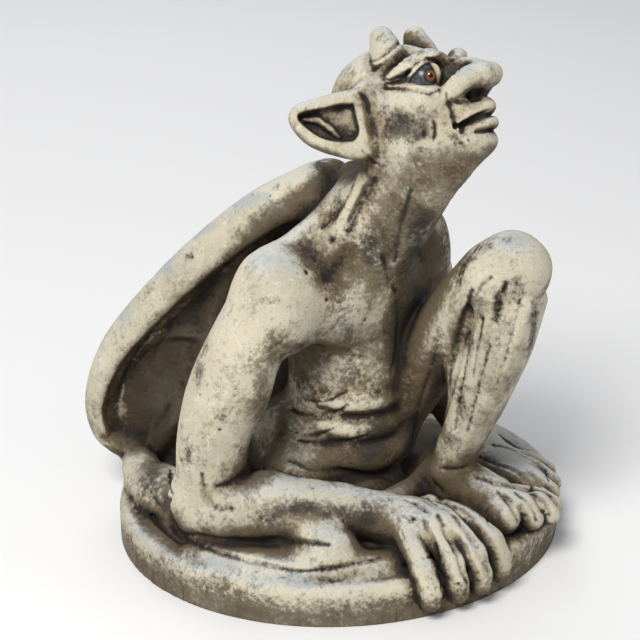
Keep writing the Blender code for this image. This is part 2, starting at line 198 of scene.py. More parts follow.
def smooth_path(points, per_span=5):
    """A smooth curve through points, each a row of numbers."""
    points = np.asarray(points, float)
    if len(points) < 3:
        share = np.linspace(0, 1, per_span + 1)[:, None]
        return points[0] * (1 - share) + points[-1] * share
    ends = np.vstack([2 * points[0] - points[1], points, 2 * points[-1] - points[-2]])
    curve = []
    for a, b, c, d in zip(ends, ends[1:], ends[2:], ends[3:]):
        for t in np.arange(per_span) / per_span:
            curve.append(0.5 * (2 * b + (c - a) * t + (2 * a - 5 * b + 4 * c - d) * t**2
                                + (3 * b - a - 3 * c + d) * t**3))
    curve.append(points[-1])
    return np.array(curve)


def grid_line(low, high, fine_spans):
    """Grid places from low to high, closer together in the fine spans."""
    places = [low]
    while places[-1] < high:
        fine = any(a <= places[-1] <= b for a, b in fine_spans)
        places.append(places[-1] + (FINE_STEP if fine else PLAIN_STEP))
    return np.array(places, np.float32)


def moved(lines, origin):
    """Open grids of x, y and z, as seen from an origin."""
    return [line - np.float32(c) for line, c in zip(lines, origin)]


def ellipsoid(local, radii):
    """Nearly the signed distance to an oval or an ellipsoid with these radii."""
    k0 = np.sqrt(sum((q / np.float32(r))**2 for q, r in zip(local, radii)))
    k1 = np.sqrt(sum((q / np.float32(r * r))**2 for q, r in zip(local, radii))) + np.float32(1e-6)
    return k0 * (k0 - 1) / k1


def rounded(side, over, rounding):
    """Two crossing distances as one, with a round corner between them."""
    return (np.sqrt(np.maximum(side, 0)**2 + np.maximum(over, 0)**2) + np.minimum(np.maximum(side, over), 0)
            - np.float32(rounding))


class Clay:
    """A signed distance on a rectilinear grid, negative inside the stone."""

    def __init__(self, xs, ys, zs):
        self.lines = [xs, ys, zs]
        self.field = np.full([len(line) for line in self.lines], FAR, np.float32)
        self.drawn = []

    def window(self, low, high):
        cut, open_lines = [], []
        for axis, line in enumerate(self.lines):
            a = max(int(np.searchsorted(line, low[axis])) - 1, 0)
            b = min(int(np.searchsorted(line, high[axis])) + 1, len(line))
            a = min(a, len(line) - 1)
            b = max(b, a + 1)
            cut.append(slice(a, b))
            shape = [1, 1, 1]
            shape[axis] = b - a
            open_lines.append(line[a:b].reshape(shape))
        return tuple(cut), open_lines

    def merge(self, cut, distance, blend):
        here = self.field[cut]
        if blend <= 0:
            np.minimum(here, distance, out=here)
            return
        k = np.float32(blend)
        h = np.maximum(k - np.abs(here - distance), 0) / k
        self.field[cut] = np.minimum(here, distance) - h * h * k * np.float32(0.25)

    def carve(self, cut, distance, blend):
        here = self.field[cut]
        k = np.float32(max(blend, 1e-3))
        h = np.maximum(k - np.abs(here + distance), 0) / k
        self.field[cut] = np.maximum(here, -distance) + h * h * k * np.float32(0.25)

    def shape(self, cut, distance, blend, cut_away):
        (self.carve if cut_away else self.merge)(cut, distance, blend)

    def ball(self, centre, radii, axes=FIGURE, blend=4.0, cut_away=False):
        """An ellipsoid with its radii along the frame's axes."""
        centre = axes.world(centre)
        radii = np.asarray(radii, float)
        reach = np.sqrt(((axes.rows * radii[:, None])**2).sum(0)) + blend + 3
        cut, lines = self.window(centre - reach, centre + reach)
        self.shape(cut, ellipsoid(axes.along(moved(lines, centre)), radii), blend, cut_away)

    def limb(self, points, radii, axes=FIGURE, blend=4.0, cut_away=False, squash=1.0):
        """A round, tapering limb along a smooth curve. squash flattens it along the frame's z."""
        path = smooth_path(np.column_stack([points, radii]))
        places, radii = axes.world(path[:, :3]), path[:, 3]
        reach = radii.max() + blend + 3
        cut, _ = self.window(places.min(0) - reach, places.max(0) + reach)
        total = np.full([s.stop - s.start for s in cut], FAR, np.float32)
        thin = None if squash == 1 else axes.rows[2]
        for a, b, ra, rb in zip(places, places[1:], radii, radii[1:]):
            reach = max(ra, rb) + blend + 3
            part, d, t = self.segment(a, b, reach, cut, thin, squash)
            d = d - (np.float32(ra) + t * np.float32(rb - ra))
            if thin is not None:
                d = d * np.float32(0.5 + 0.5 * squash)
            np.minimum(total[part], d, out=total[part])
        self.shape(cut, total, blend, cut_away)

    def segment(self, a, b, reach, cut, thin=None, squash=1.0):
        """Distances to a straight piece: (the part of cut that they cover, distances, shares along it)."""
        inner, lines = self.window(np.minimum(a, b) - reach, np.maximum(a, b) + reach)
        part = tuple(slice(max(s.start - o.start, 0), max(s.stop - o.start, 0)) for s, o in zip(inner, cut))
        ab = (b - a).astype(np.float32)
        x, y, z = moved(lines, a)
        t = np.clip((x * ab[0] + y * ab[1] + z * ab[2]) / max(float(ab @ ab), 1e-6), 0, 1)
        x, y, z = x - t * ab[0], y - t * ab[1], z - t * ab[2]
        if thin is not None:
            n = thin.astype(np.float32)
            more = (x * n[0] + y * n[1] + z * n[2]) * np.float32(1 / squash - 1)
            x, y, z = x + more * n[0], y + more * n[1], z + more * n[2]
        return part, np.sqrt(x * x + y * y + z * z), t

    def plate(self, outline, axes, thickness, middle=0.0, rounding=2.0, blend=3.0, cut_away=False):
        """A plate with an outline in the frame's x and y, and its middle at that z."""
        outline = np.asarray(outline, float)
        pad = 6 + blend
        side_field = OutlineField(outline, pad)
        corners = np.array([axes.world((x, y, z))
                            for x in (outline[:, 0].min() - pad, outline[:, 0].max() + pad)
                            for y in (outline[:, 1].min() - pad, outline[:, 1].max() + pad)
                            for z in (middle - thickness - pad, middle + thickness + pad)])
        cut, lines = self.window(corners.min(0), corners.max(0))
        u, v, w = axes.along(moved(lines, axes.origin))
        side = side_field.at(u, v) + np.float32(rounding)
        over = np.abs(w - np.float32(middle)) - np.float32(thickness / 2 - rounding)
        self.shape(cut, rounded(side, over, rounding), blend, cut_away)

    def press(self, places, width, depth, fade=0.0):
        """Presses a line of that half-width and depth into the surface along places, or raises it where depth
        is negative. fade thins out its two ends."""
        reach = PRESS_REACH * width + 1
        cut, _ = self.window(places.min(0) - reach, places.max(0) + reach)
        total = np.zeros([s.stop - s.start for s in cut], np.float32)
        shares = np.linspace(0, 1, len(places))
        strengths = np.ones(len(places))
        if fade:
            strengths = np.clip(np.minimum(shares, 1 - shares) / fade, FADED_END, 1)
        for a, b, s in zip(places, places[1:], strengths):
            part, d, _ = self.segment(a, b, reach, cut)
            np.maximum(total[part], np.float32(s) * np.exp(-(d / np.float32(width))**2), out=total[part])
        self.field[cut] += np.float32(depth) * total
        if depth > 0:
            for a, b in zip(places, places[1:]):
                steps = max(int(np.linalg.norm(b - a) / DRAWN_SPACING), 1)
                self.drawn.extend((a + (b - a) * k / steps, width, depth) for k in range(steps))

    def indices(self, points):
        """Where points lie on the grid: whole steps and shares of a step."""
        whole, share = [], []
        for axis, line in enumerate(self.lines):
            i = np.clip(np.searchsorted(line, points[:, axis]) - 1, 0, len(line) - 2)
            whole.append(i)
            share.append(np.clip((points[:, axis] - line[i]) / (line[i + 1] - line[i]), 0, 1))
        return whole, share

    def sample(self, points):
        (i, j, k), (s, t, r) = self.indices(points)
        out = 0
        for dx in (0, 1):
            for dy in (0, 1):
                for dz in (0, 1):
                    weight = (s if dx else 1 - s) * (t if dy else 1 - t) * (r if dz else 1 - r)
                    out = out + weight * self.field[i + dx, j + dy, k + dz]
        return out

    def slope(self, points, step=0.8):
        ways = np.eye(3) * step
        rise = np.stack([self.sample(points + way) - self.sample(points - way) for way in ways], 1)
        return rise / (np.linalg.norm(rise, axis=1, keepdims=True) + 1e-9)

    def settle(self, places, steps=6):
        """Moves places onto the surface along its slope."""
        places = places.copy()
        for _ in range(steps):
            places -= self.slope(places) * np.clip(self.sample(places), -4, 4)[:, None] * 0.9
        return places

    def seen(self, pixels):
        """The surface points behind these pixels of the photograph."""
        ways = CAMERA.rays(pixels)
        along = np.full(len(ways), CAMERA_DISTANCE - RAY_START)
        for _ in range(RAY_STEPS):
            away = self.sample(CAMERA.place + ways * along[:, None])
            along += np.where(away < RAY_STOP, 0, np.clip(away * RAY_SHARE, RAY_LEAST, RAY_MOST))
        return CAMERA.place + ways * along[:, None]

    def line(self, pixels, width, depth, fade=0.3):
        """A line pressed into the surface as the photograph shows it, through these pixels."""
        places = smooth_path(self.seen(pixels), 4)
        self.press(self.settle(places), width, depth, fade)

    def dent(self, pixel, width, depth):
        """A small round pit, or a wart where depth is negative."""
        place = self.seen([pixel])[0]
        self.press(np.array([place, place + 0.01]), width, depth)

    def skin(self):
        """The zero level as vertices and quads, by surface nets."""
        inside = self.field < 0
        nx, ny, nz = inside.shape
        total = np.zeros((nx - 1, ny - 1, nz - 1), np.uint8)
        steps = [(a, b, c) for a in (0, 1) for b in (0, 1) for c in (0, 1)]
        for a, b, c in steps:
            total += inside[a:nx - 1 + a, b:ny - 1 + b, c:nz - 1 + c]
        active = (total > 0) & (total < 8)
        cells = np.argwhere(active)
        index = np.full(active.shape, -1, np.int32)
        index[tuple(cells.T)] = np.arange(len(cells), dtype=np.int32)
        value = {s: self.field[cells[:, 0] + s[0], cells[:, 1] + s[1], cells[:, 2] + s[2]] for s in steps}
        summed = np.zeros((len(cells), 3), np.float32)
        crossings = np.zeros(len(cells), np.float32)
        for a in steps:
            for axis in range(3):
                if a[axis]:
                    continue
                b = tuple(1 if k == axis else a[k] for k in range(3))
                crossed = (value[a] < 0) != (value[b] < 0)
                share = np.where(crossed, value[a] / np.where(crossed, value[a] - value[b], 1), 0)
                for k in range(3):
                    summed[:, k] += crossed * (share if k == axis else a[k])
                crossings += crossed
        shares = summed / crossings[:, None]
        verts = np.empty((len(cells), 3))
        for axis, line in enumerate(self.lines):
            i = cells[:, axis]
            verts[:, axis] = line[i] + shares[:, axis] * (line[i + 1] - line[i])
        quads = []
        for axis in range(3):
            others = [k for k in range(3) if k != axis]
            low, high = [slice(None)] * 3, [slice(None)] * 3
            low[axis], high[axis] = slice(0, -1), slice(1, None)
            for k in others:
                low[k] = high[k] = slice(1, -1)
            first, second = inside[tuple(low)], inside[tuple(high)]
            edges = np.argwhere(first != second)
            outward = first[tuple(edges.T)]
            edges[:, others] += 1
            ring = []
            for s, t in ((-1, -1), (0, -1), (0, 0), (-1, 0)):
                cell = edges.copy()
                cell[:, others[0]] += s
                cell[:, others[1]] += t
                ring.append(index[tuple(cell.T)])
            quad = np.stack(ring, 1)
            flip = ~outward if axis != 1 else outward
            quad[flip] = quad[flip][:, ::-1]
            quads.append(quad)
        return verts, np.concatenate(quads)


class OutlineField:
    """The signed distance to a closed outline, on a small flat grid."""

    def __init__(self, outline, pad, step=1.0):
        self.low = outline.min(0) - pad
        self.step = step
        high = outline.max(0) + pad
        u = np.arange(self.low[0], high[0] + step, step)[:, None]
        v = np.arange(self.low[1], high[1] + step, step)[None, :]
        nearest = np.full((u.shape[0], v.shape[1]), 1e9)
        odd = np.zeros(nearest.shape, bool)
        for a, b in zip(outline, np.roll(outline, -1, axis=0)):
            e = b - a
            t = np.clip(((u - a[0]) * e[0] + (v - a[1]) * e[1]) / max(e @ e, 1e-9), 0, 1)
            nearest = np.minimum(nearest, (u - a[0] - t * e[0])**2 + (v - a[1] - t * e[1])**2)
            if a[1] != b[1]:
                odd ^= ((a[1] > v) != (b[1] > v)) & (u < (b[0] - a[0]) * (v - a[1]) / (b[1] - a[1]) + a[0])
        self.grid = (np.where(odd, -1, 1) * np.sqrt(nearest)).astype(np.float32)

    def at(self, u, v):
        a = np.clip((u - np.float32(self.low[0])) / np.float32(self.step), 0, self.grid.shape[0] - 1.001)
        b = np.clip((v - np.float32(self.low[1])) / np.float32(self.step), 0, self.grid.shape[1] - 1.001)
        i, j = a.astype(np.int32), b.astype(np.int32)
        s, t = a - i, b - j
        g = self.grid
        return (g[i, j] * (1 - s) * (1 - t) + g[i + 1, j] * s * (1 - t)
                + g[i, j + 1] * (1 - s) * t + g[i + 1, j + 1] * s * t)


def rock(clay):
    """The rough ground behind the elbows, under the tips of the wings."""
    clay.ball((-82, 46, 28), (13, 20, 13), blend=6)
    clay.limb([(-88, 28, 25), (-87, 48, 27), (-80, 70, 27), (-70, 88, 27)], [9, 11, 11, 9], blend=6)
    clay.limb([(72, 84, 26), (58, 92, 26)], [10, 9], blend=6)


def base_oval(x, y, inset):
    """Nearly the distance to the base's outline, taken in by an inset."""
    turn = math.radians(BASE_TURN)
    u = np.float32(math.cos(turn)) * x + np.float32(math.sin(turn)) * y
    v = np.float32(math.cos(turn)) * y - np.float32(math.sin(turn)) * x
    return ellipsoid((u, v), (BASE_LENGTH / 2 - inset, BASE_WIDTH / 2 - inset))


def base(clay):
    """The oval base with its rounded rim. Its groove is cut after the figure is on it."""
    cut, (x, y, z) = clay.window((-135, -135, -4), (135, 135, BASE_HEIGHT + 8))
    side = base_oval(x, y, SIDE_INSET) + np.float32(RIM_ROUND)
    over = z - np.float32(BASE_HEIGHT - RIM_ROUND) + 0 * side
    clay.merge(cut, rounded(side, over, RIM_ROUND), 0)


def groove(clay):
    """The groove round the top of the base, pressed only where the base is bare."""
    cut, (x, y, z) = clay.window((-125, -125, BASE_HEIGHT - 5), (125, 125, BASE_HEIGHT + 3))
    line = np.exp(-(base_oval(x, y, GROOVE_INSET) / np.float32(GROOVE_WIDTH))**2)
    near = np.clip((np.float32(BASE_HEIGHT + 2.5) - z) / 2, 0, 1)
    clay.field[cut] += np.float32(GROOVE_DEPTH) * line * near


def mound(clay):
    """The low swell inside the rim, and the roll of it that the right forearm lies behind."""
    clay.ball((0, 8, 20), (92, 84, 12), blend=5)
    roll = [(-96, -4, 19), (-90, -28, 20), (-73, -52, 20), (-54, -68, 20), (-37, -77, 21)]
    clay.limb(roll, [12, 12.5, 12, 11, 9], squash=0.8, blend=4)


def torso(clay):
    clay.ball((1, 3, 50), (38, 36, 32), blend=6)
    clay.ball((1, -2, 80), (29, 30, 42), blend=14)
    clay.ball((4, -3, 120), (33, 30, 43), blend=16)
    clay.limb([(-38, -3, 148), (0, 2, 154), (38, -3, 150)], [17, 18, 17], blend=14)
    for side in SIDES:
        clay.ball((side * 20, -20, 136), (21, 12, 18), blend=9)
        clay.ball((side * 21, 20, 48), (22, 22, 25), blend=8)
        clay.ball((side * 22, 24, 132), (15, 9, 24), blend=8)
        clay.limb([(side * 50, -4, 158), (side * 34, -3, 167), (side * 18, -10, 179), (side * 9, -18, 192)],
                  [13, 9.5, 9, 10], blend=8)
    clay.limb([(0, 30, 56), (0, 32, 100), (0, 27, 140), (1, 12, 172), (4, -4, 198)], [7] * 5, blend=10)
    for height, radius in ((84, 4.5), (70, 6), (54, 9)):
        roll = [(-25, -14, height + 1), (-16, -26, height), (0, -31, height - 1), (16, -26, height - 1)]
        clay.limb(roll, [radius * 0.8, radius, radius, radius * 0.8], blend=3)


def neck(clay):
    clay.limb([(0, -6, 148), (1, -18, 168), (4, -32, 188), (7, -40, 206), (8, -38, 220)],
              [29, 25, 23, 23, 24], blend=14)
    clay.limb([(-27, -14, 162), (-21, -22, 178), (-17, -28, 194), (-14, -33, 208)], [6, 6, 5, 5], blend=5)


# A wing: where its frame starts beside the back and the way it runs, then its bar and its ribs in that frame
WING_ROOT, WING_WAY = (5, 15), (0.643, 0.766)
WING_BAR = [(0, 187), (28, 171), (64, 140), (97, 104), (112, 81), (119, 59), (117, 43), (110, 34.5),
            (100, 30)]
WING_BAR_RADII = [14, 13.5, 12.5, 11, 9.5, 8, 7.5, 7, 7]
WING_RIBS = (((40, 160, -8), (80, 100, -8), (100, 36, -7)),
             ((25, 160, -8), (52, 90, -9), (66, 28, -8)),
             ((12, 160, -8), (26, 90, -9), (32, 28, -8)))


def wing_frame(side):
    """x runs back along the folded wing, y up, z out of its outer face."""
    along = (side * WING_WAY[0], WING_WAY[1], 0)
    return Frame((side * WING_ROOT[0], WING_ROOT[1], 0), along, (0, 0, 1), np.cross(along, (0, 0, 1)) * side)


def beside_bar(across, out):
    """The bar's path moved towards its outer edge and out of the wing's face, in shares of its radius."""
    path = np.array(WING_BAR, float)
    along = np.gradient(path, axis=0)
    along /= np.linalg.norm(along, axis=1, keepdims=True)
    radii = np.array(WING_BAR_RADII)[:, None]
    moved = path + np.column_stack([-along[:, 1], along[:, 0]]) * radii * across
    return np.column_stack([moved, radii * out])


def wing(clay, side):
    """One folded wing: a thick bar that curls under at its tip, a membrane and the ribs on its back."""
    frame = wing_frame(side)
    outline = WING_BAR[:-2] + [(110, 33), (98, 26), (70, 20), (0, 20)]
    radii = np.array(WING_BAR_RADII)
    clay.plate(outline, frame, 9, middle=-5, rounding=3, blend=5)
    clay.limb(beside_bar(0, 0), radii, frame, blend=3.5)
    clay.limb(beside_bar(-0.15, 0.55)[:-2], radii[:-2] * 0.5, frame, blend=2)
    clay.limb(beside_bar(-1.15, 0.75)[:-2], radii[:-2] * 0.62, frame, blend=2.5, cut_away=True)
    clay.limb([(30, 165, -3), (52, 120, -2), (62, 80, -1), (78, 48, -1), (90, 30, -2)],
              [6, 5.5, 5, 5, 5], frame, blend=5)
    clay.limb([(58, 103, -1), (78, 102, -1), (96, 92, -2)], [3.5, 3, 2.5], frame, blend=3)
    for rib in WING_RIBS:
        clay.limb(rib, [6, 5, 4], frame, blend=5)


def right_arm(clay):
    clay.ball((-50, -6, 143), (23, 24, 27), blend=9)
    clay.limb([(-45, -5, 150), (-63.5, -2.5, 128), (-76.5, 1.5, 103), (-84.5, 2.5, 78), (-88, 2, 50)],
              [20, 19.2, 19, 18.3, 17], blend=3)
    clay.ball((-70, -10, 112), (11, 10, 24), blend=6)
    clay.ball((-87, 3, 38), (19, 19, 17), blend=6)
    clay.ball((-94, 9, 46), (12, 12, 12), blend=5)
    clay.limb([(-84, -8, 42), (-66, -26, 42), (-45, -43, 40), (-26, -58, 37)],
              [18.5, 17, 14.5, 11.5], blend=3)
    clay.ball((-70, -20, 49), (15, 13, 10), blend=6)
    clay.ball((-40, -44, 48), (6, 6, 4), blend=4)


FINGERS = (((-24, -70, 36), (-29.5, -84, 32.5), (-33, -96, 25), (-34.5, -102.5, 17), (-34.5, -103.5, 11)),
           ((-17, -72, 37), (-18.5, -90, 34.5), (-19.5, -102, 26), (-19.8, -106.5, 17), (-19, -107.5, 11)),
           ((-10, -72, 37), (-7.5, -92, 35.5), (-6.5, -105, 27), (-6.4, -109.5, 18), (-6.4, -110.5, 12)),
           ((-3, -70, 37), (4, -88, 35.5), (8, -103, 28), (9.3, -108.5, 19), (9.4, -109.5, 13)))


def right_hand(clay):
    """The hand that grips the rim: four long fingers hang over it, the thumb lies inwards."""
    clay.limb([(-27, -57, 35), (-18, -70, 33.5), (-12, -82, 32.5)], [12.5, 16, 16], squash=0.85, blend=5)
    for finger in FINGERS:
        clay.limb(finger, [7, 6.5, 6.1, 5.9, 5.5], blend=2)
        clay.ball(finger[2], (6.8, 6.6, 6.6), blend=2)
        clay.ball(finger[3], (6.2, 6.2, 6), blend=2)
    clay.limb([(-20, -56, 37), (-4, -53, 37), (11, -50, 36)], [9, 7.5, 7], blend=2.5)


def right_leg(clay):
    """Folded flat behind the forearm, with its foot under the left thigh."""
    clay.limb([(-24, 0, 42), (-56, -26, 34), (-58, -58, 28)], [24, 18, 13], blend=8)
    clay.limb([(-52, -46, 30), (-22, -36, 31), (6, -28, 31)], [13, 13, 11], blend=6)


def left_leg(clay):
    """Drawn up, with the knee as high as the shoulder."""
    clay.ball((24, 2, 50), (25, 28, 27), blend=8)
    clay.limb([(24, -4, 56), (29, -30, 92), (31, -54, 128), (32, -76, 156)], [22, 18.5, 18, 18.5], blend=5)
    clay.limb([(37, -83, 161), (34, -82, 130), (28, -74, 95), (21, -66, 62), (19, -62, 46)],
              [17, 16.5, 15, 11, 10.5], blend=2.5)
    clay.ball((37, -83, 164), (17.5, 17, 17), blend=5)
    clay.ball((41, -92, 162), (11, 9, 13), blend=4)
    clay.ball((30, -64, 108), (13, 12, 26), blend=5)
    clay.limb([(31, -97, 148), (26, -91, 118), (20, -80, 88), (15, -70, 58)], [4.5, 4, 3.5, 3.5], blend=3)
    clay.limb([(46, -93, 146), (40, -88, 116), (33, -78, 88)], [5, 4.5, 3.5], blend=3)
    clay.limb([(19, -78, 154), (16, -74, 138), (14.5, -70, 121), (13, -66, 103), (13, -61, 88),
               (14, -57, 74)], [1, 2.5, 3, 3.5, 5, 5], blend=1.5, cut_away=True)
    for place in ((11, -64, 50), (27, -60, 49)):
        clay.ball(place, (5, 6, 6), blend=3)


def left_foot(clay):
    clay.ball((20, -56, 36), (13, 16, 14), blend=5)
    clay.limb([(22, -62, 42), (28, -78, 37), (34, -90, 32)], [13, 12.5, 11], blend=6)
    toes = (((24, -78, 34), (25.5, -88, 33), (26, -95, 31)), ((33, -84, 35), (38, -97, 34), (40, -102.5, 28)),
            ((40, -84, 33), (48, -99, 32), (51, -104.5, 27)), ((46, -80, 31), (56, -92, 30), (61, -98, 26)))
    for toe, radius in zip(toes, (9.5, 6.5, 6, 5.5)):
        clay.limb(toe, [radius, radius * 0.92, radius * 0.95], blend=1.4)
        clay.ball(toe[1], (radius * 1.04, radius * 1.04, radius * 1.08), blend=1.4)
    for across in (25, 32, 39):
        clay.limb([(20 + (across - 20) * 0.3, -66, 45), (across, -82, 40)], [3, 3], blend=2.5)


def left_arm(clay):
    clay.ball((43, -6, 147), (21, 22, 26), blend=9)
    clay.limb([(40, -5, 150), (54, -2, 125), (66, 0, 98), (73, -3, 70), (75, -5, 60)],
              [21, 20, 19, 17.5, 16], blend=4)
    clay.limb([(75, -6, 58), (73, -22, 44), (70, -38, 34)], [16, 13, 11], blend=5)


def left_hand(clay):
    clay.limb([(70, -38, 33), (68, -52, 31), (66, -62, 29)], [11, 14, 14], squash=0.62, blend=5)
    fingers = (((56, -58, 30), (59, -70, 31), (63, -81, 26)), ((63, -58, 31), (67, -74, 31), (71, -87, 25)),
               ((71, -54, 30), (76, -68, 30), (81, -80, 24)), ((76, -48, 29), (84, -60, 28), (90, -69, 24)))
    for finger, radius in zip(fingers, (7, 6.6, 6.2, 5.6)):
        clay.limb(finger, [radius, radius, radius * 0.9], blend=2)


# An ear: its root and the way it points in the head's frame, its outline and its hollow
EAR_ROOT, EAR_WAY = (-9, 25, 0), (-0.77, 0.64, 0)
EAR_OUTLINE = [(-6, 11), (8, 11), (20, 10.5), (28, 9.5), (32, 4.5), (31, -2), (27, -9), (20, -15), (13, -19),
               (5, -22.5), (-3, -23), (-6, -15)]
EAR_HOLLOW = [(1, 3), (8, 4.6), (20, 4.8), (27.5, 4.2), (26, -1), (20, -8), (12, -12), (4, -13), (0, -7)]


def ear(clay, side):
    root, along, up = HEAD.world(mirrored(EAR_ROOT, side)), HEAD.turn(mirrored(EAR_WAY, side)), HEAD.rows[2]
    frame = Frame(root, along, up, np.cross(along, up) * side)
    clay.plate(smooth_path(EAR_OUTLINE, 3)[:-1], frame, 9.5, rounding=4, blend=3)
    clay.plate(smooth_path(EAR_HOLLOW, 3)[:-1], frame, 13.5, middle=6, rounding=2.5, blend=1.5, cut_away=True)
    clay.limb([(25, 2, 0.4), (19, 0, 0.2), (14, -5, 0), (11, -10, 0)], [1.2, 1.7, 1.8, 1.2], frame, blend=1.2)
    clay.ball((3, -4, -1), (5, 7, 2.5), frame, blend=2)


def head(clay):
    clay.ball((-4, 0, 4), (32, 25, 25.5), HEAD, blend=5)
    clay.ball((14, 0, -6), (29, 22, 23), HEAD, blend=8)
    clay.limb([(34, 0, -29), (20, 0, -33), (2, 0, -38)], [7, 12, 16], HEAD, blend=6)
    for side in SIDES:
        clay.limb([(-4, side * 15, -18), (16, side * 12.5, -23), (32, side * 5, -26.5)],
                  [9, 8.5, 8.5], HEAD, blend=7)
        clay.ball((20, side * 17, -4), (12, 6, 8), HEAD, blend=6)
    clay.limb([(28, 0, 6), (40, 0, 5), (47.5, 0, 0.5)], [7, 6.5, 7.2], HEAD, blend=4)
    for side in SIDES:
        clay.limb([(49.5, side * 4, 0.5), (43.5, side * 9.5, 0), (35.5, side * 12.5, -4.4)],
                  [6, 5.6, 5.2], HEAD, blend=1.2)
        clay.limb([(44, side * 7, 7.8), (38, side * 10.5, 5), (32.5, side * 13.5, 1)],
                  [1.1, 1.6, 1.2], HEAD, blend=3, cut_away=True)
    clay.ball((33, 0, -13), (14, 13, 10), HEAD, blend=4)
    clay.limb([(34, -11, -19), (43, -6, -15.5), (47, 0, -13.5), (43, 6, -15.5), (34, 11, -19)],
              [2.6, 3, 3, 3, 2.6], HEAD, blend=3)
    clay.ball((37, 0, -29), (9, 10, 6.5), HEAD, blend=3)
    clay.limb([(34, -12, -19.5), (44, -7, -18.4), (52, 0, -18.2), (44, 7, -18.4), (34, 12, -19.5)],
              [1.5, 2.0, 2.2, 2.0, 1.5], HEAD, blend=1, cut_away=True)
    clay.limb([(34, -9, -22.5), (43, -5.5, -22), (46.4, 0, -21.5), (43, 5.5, -22), (34, 9, -22.5)],
              [2, 2.6, 2.8, 2.6, 2], HEAD, blend=1.2)
    for side in SIDES:
        clay.limb([(33, side * 7, 12), (29.5, side * 14, 14.5), (22, side * 20, 13.5), (12, side * 23, 10)],
                  [3.4, 4.6, 3.4, 2], HEAD, blend=3.5)
        clay.limb([(9.5, side * 15, 21), (8.5, side * 15, 30.5)], [8.8, 5.6], HEAD, blend=1.5)
        ear(clay, side)
        clay.ball((28.5, side * 15.5, 6.5), (7.5, 6.5, 5.5), HEAD, blend=2.0, cut_away=True)
        clay.limb([(45, side * 5.5, -8), (41, side * 6.5, -7)], [3.1, 2.6], HEAD, blend=1, cut_away=True)
    eyelids(clay)


# The rims of the eyelids, from the eye's middle: forward, outward and up. They are lifted off the eyeball a
# little, and are thinner at their ends
UPPER_LID = [(-5.6, 6.1, -0.6), (-0.7, 7.8, 2.8), (2.7, 5.5, 5.6), (5.1, 1.8, 6.3), (7.4, 0.5, 3.6),
             (8.2, 0.3, -0.9), (6.8, -0.2, -4.8)]
LOWER_LID = [(-6.6, 6.1, -1.2), (-1.2, 7.3, -3.7), (2.8, 5.6, -5.4), (5.4, 2.6, -5.8), (6.8, -0.2, -4.8)]
UPPER_LID_RADIUS, LOWER_LID_RADIUS = 1.45, 1.2
LID_LIFT, LID_END = 1.03, 0.7


def eyelids(clay):
    for side in SIDES:
        for rim, radius in ((UPPER_LID, UPPER_LID_RADIUS), (LOWER_LID, LOWER_LID_RADIUS)):
            path = (np.array(EYE_PLACE) + np.array(rim) * LID_LIFT) * (1, side, 1)
            radii = [LID_END * radius] + [radius] * (len(rim) - 2) + [LID_END * radius]
            clay.limb(path, radii, HEAD, blend=0.8)


# Lines carved into the figure, each as half-width, depth and the photograph's pixels that it runs through
HEAD_LINES = (
    (0.9, 1.5, ((370, 62), (380, 59), (390, 51), (397, 45), (405, 42))),
    (0.7, 0.9, ((398, 52), (410, 55), (421, 57), (432, 60), (441, 62))),
    (0.7, 0.9, ((394, 58), (405, 62), (413, 66))),
    (0.6, 0.8, ((392, 64), (400, 66), (406, 68))),
    (0.7, 0.9, ((369, 71), (377, 69), (384, 64))),
    (0.9, 1.6, ((384, 79), (398, 78), (406, 76), (411, 70), (418, 64), (426, 60), (434, 60), (441, 67),
                (444, 79))),
    (0.6, 1.1, ((387, 84), (398, 82), (409, 79))),
    (0.9, 1.5, ((385, 89), (398, 89), (412, 91), (427, 94), (439, 91))),
    (0.6, 0.8, ((412, 95), (424, 98), (436, 95))),
    (0.9, 1.4, ((446, 93), (449, 104), (452, 115), (455, 128))),
    (0.8, 1.2, ((451, 99), (460, 103), (470, 101), (478, 93), (485, 87))),
    (0.8, 1.3, ((461, 133), (463, 126), (467, 121))),
    (0.7, 1.0, ((457, 138), (461, 144), (466, 149))),
    (0.8, 1.2, ((431, 117), (435, 128), (433, 142))),
    (0.7, 0.9, ((423, 129), (425, 140))),
    (0.8, 1.3, ((361, 94), (367, 102), (369, 113))),
    (0.9, 1.2, ((362, 150), (367, 156), (373, 162), (381, 166))),
    (0.6, 0.8, ((470, 62), (463, 66), (459, 72))),
    (0.6, 0.8, ((449, 70), (456, 76), (459, 84))),
)
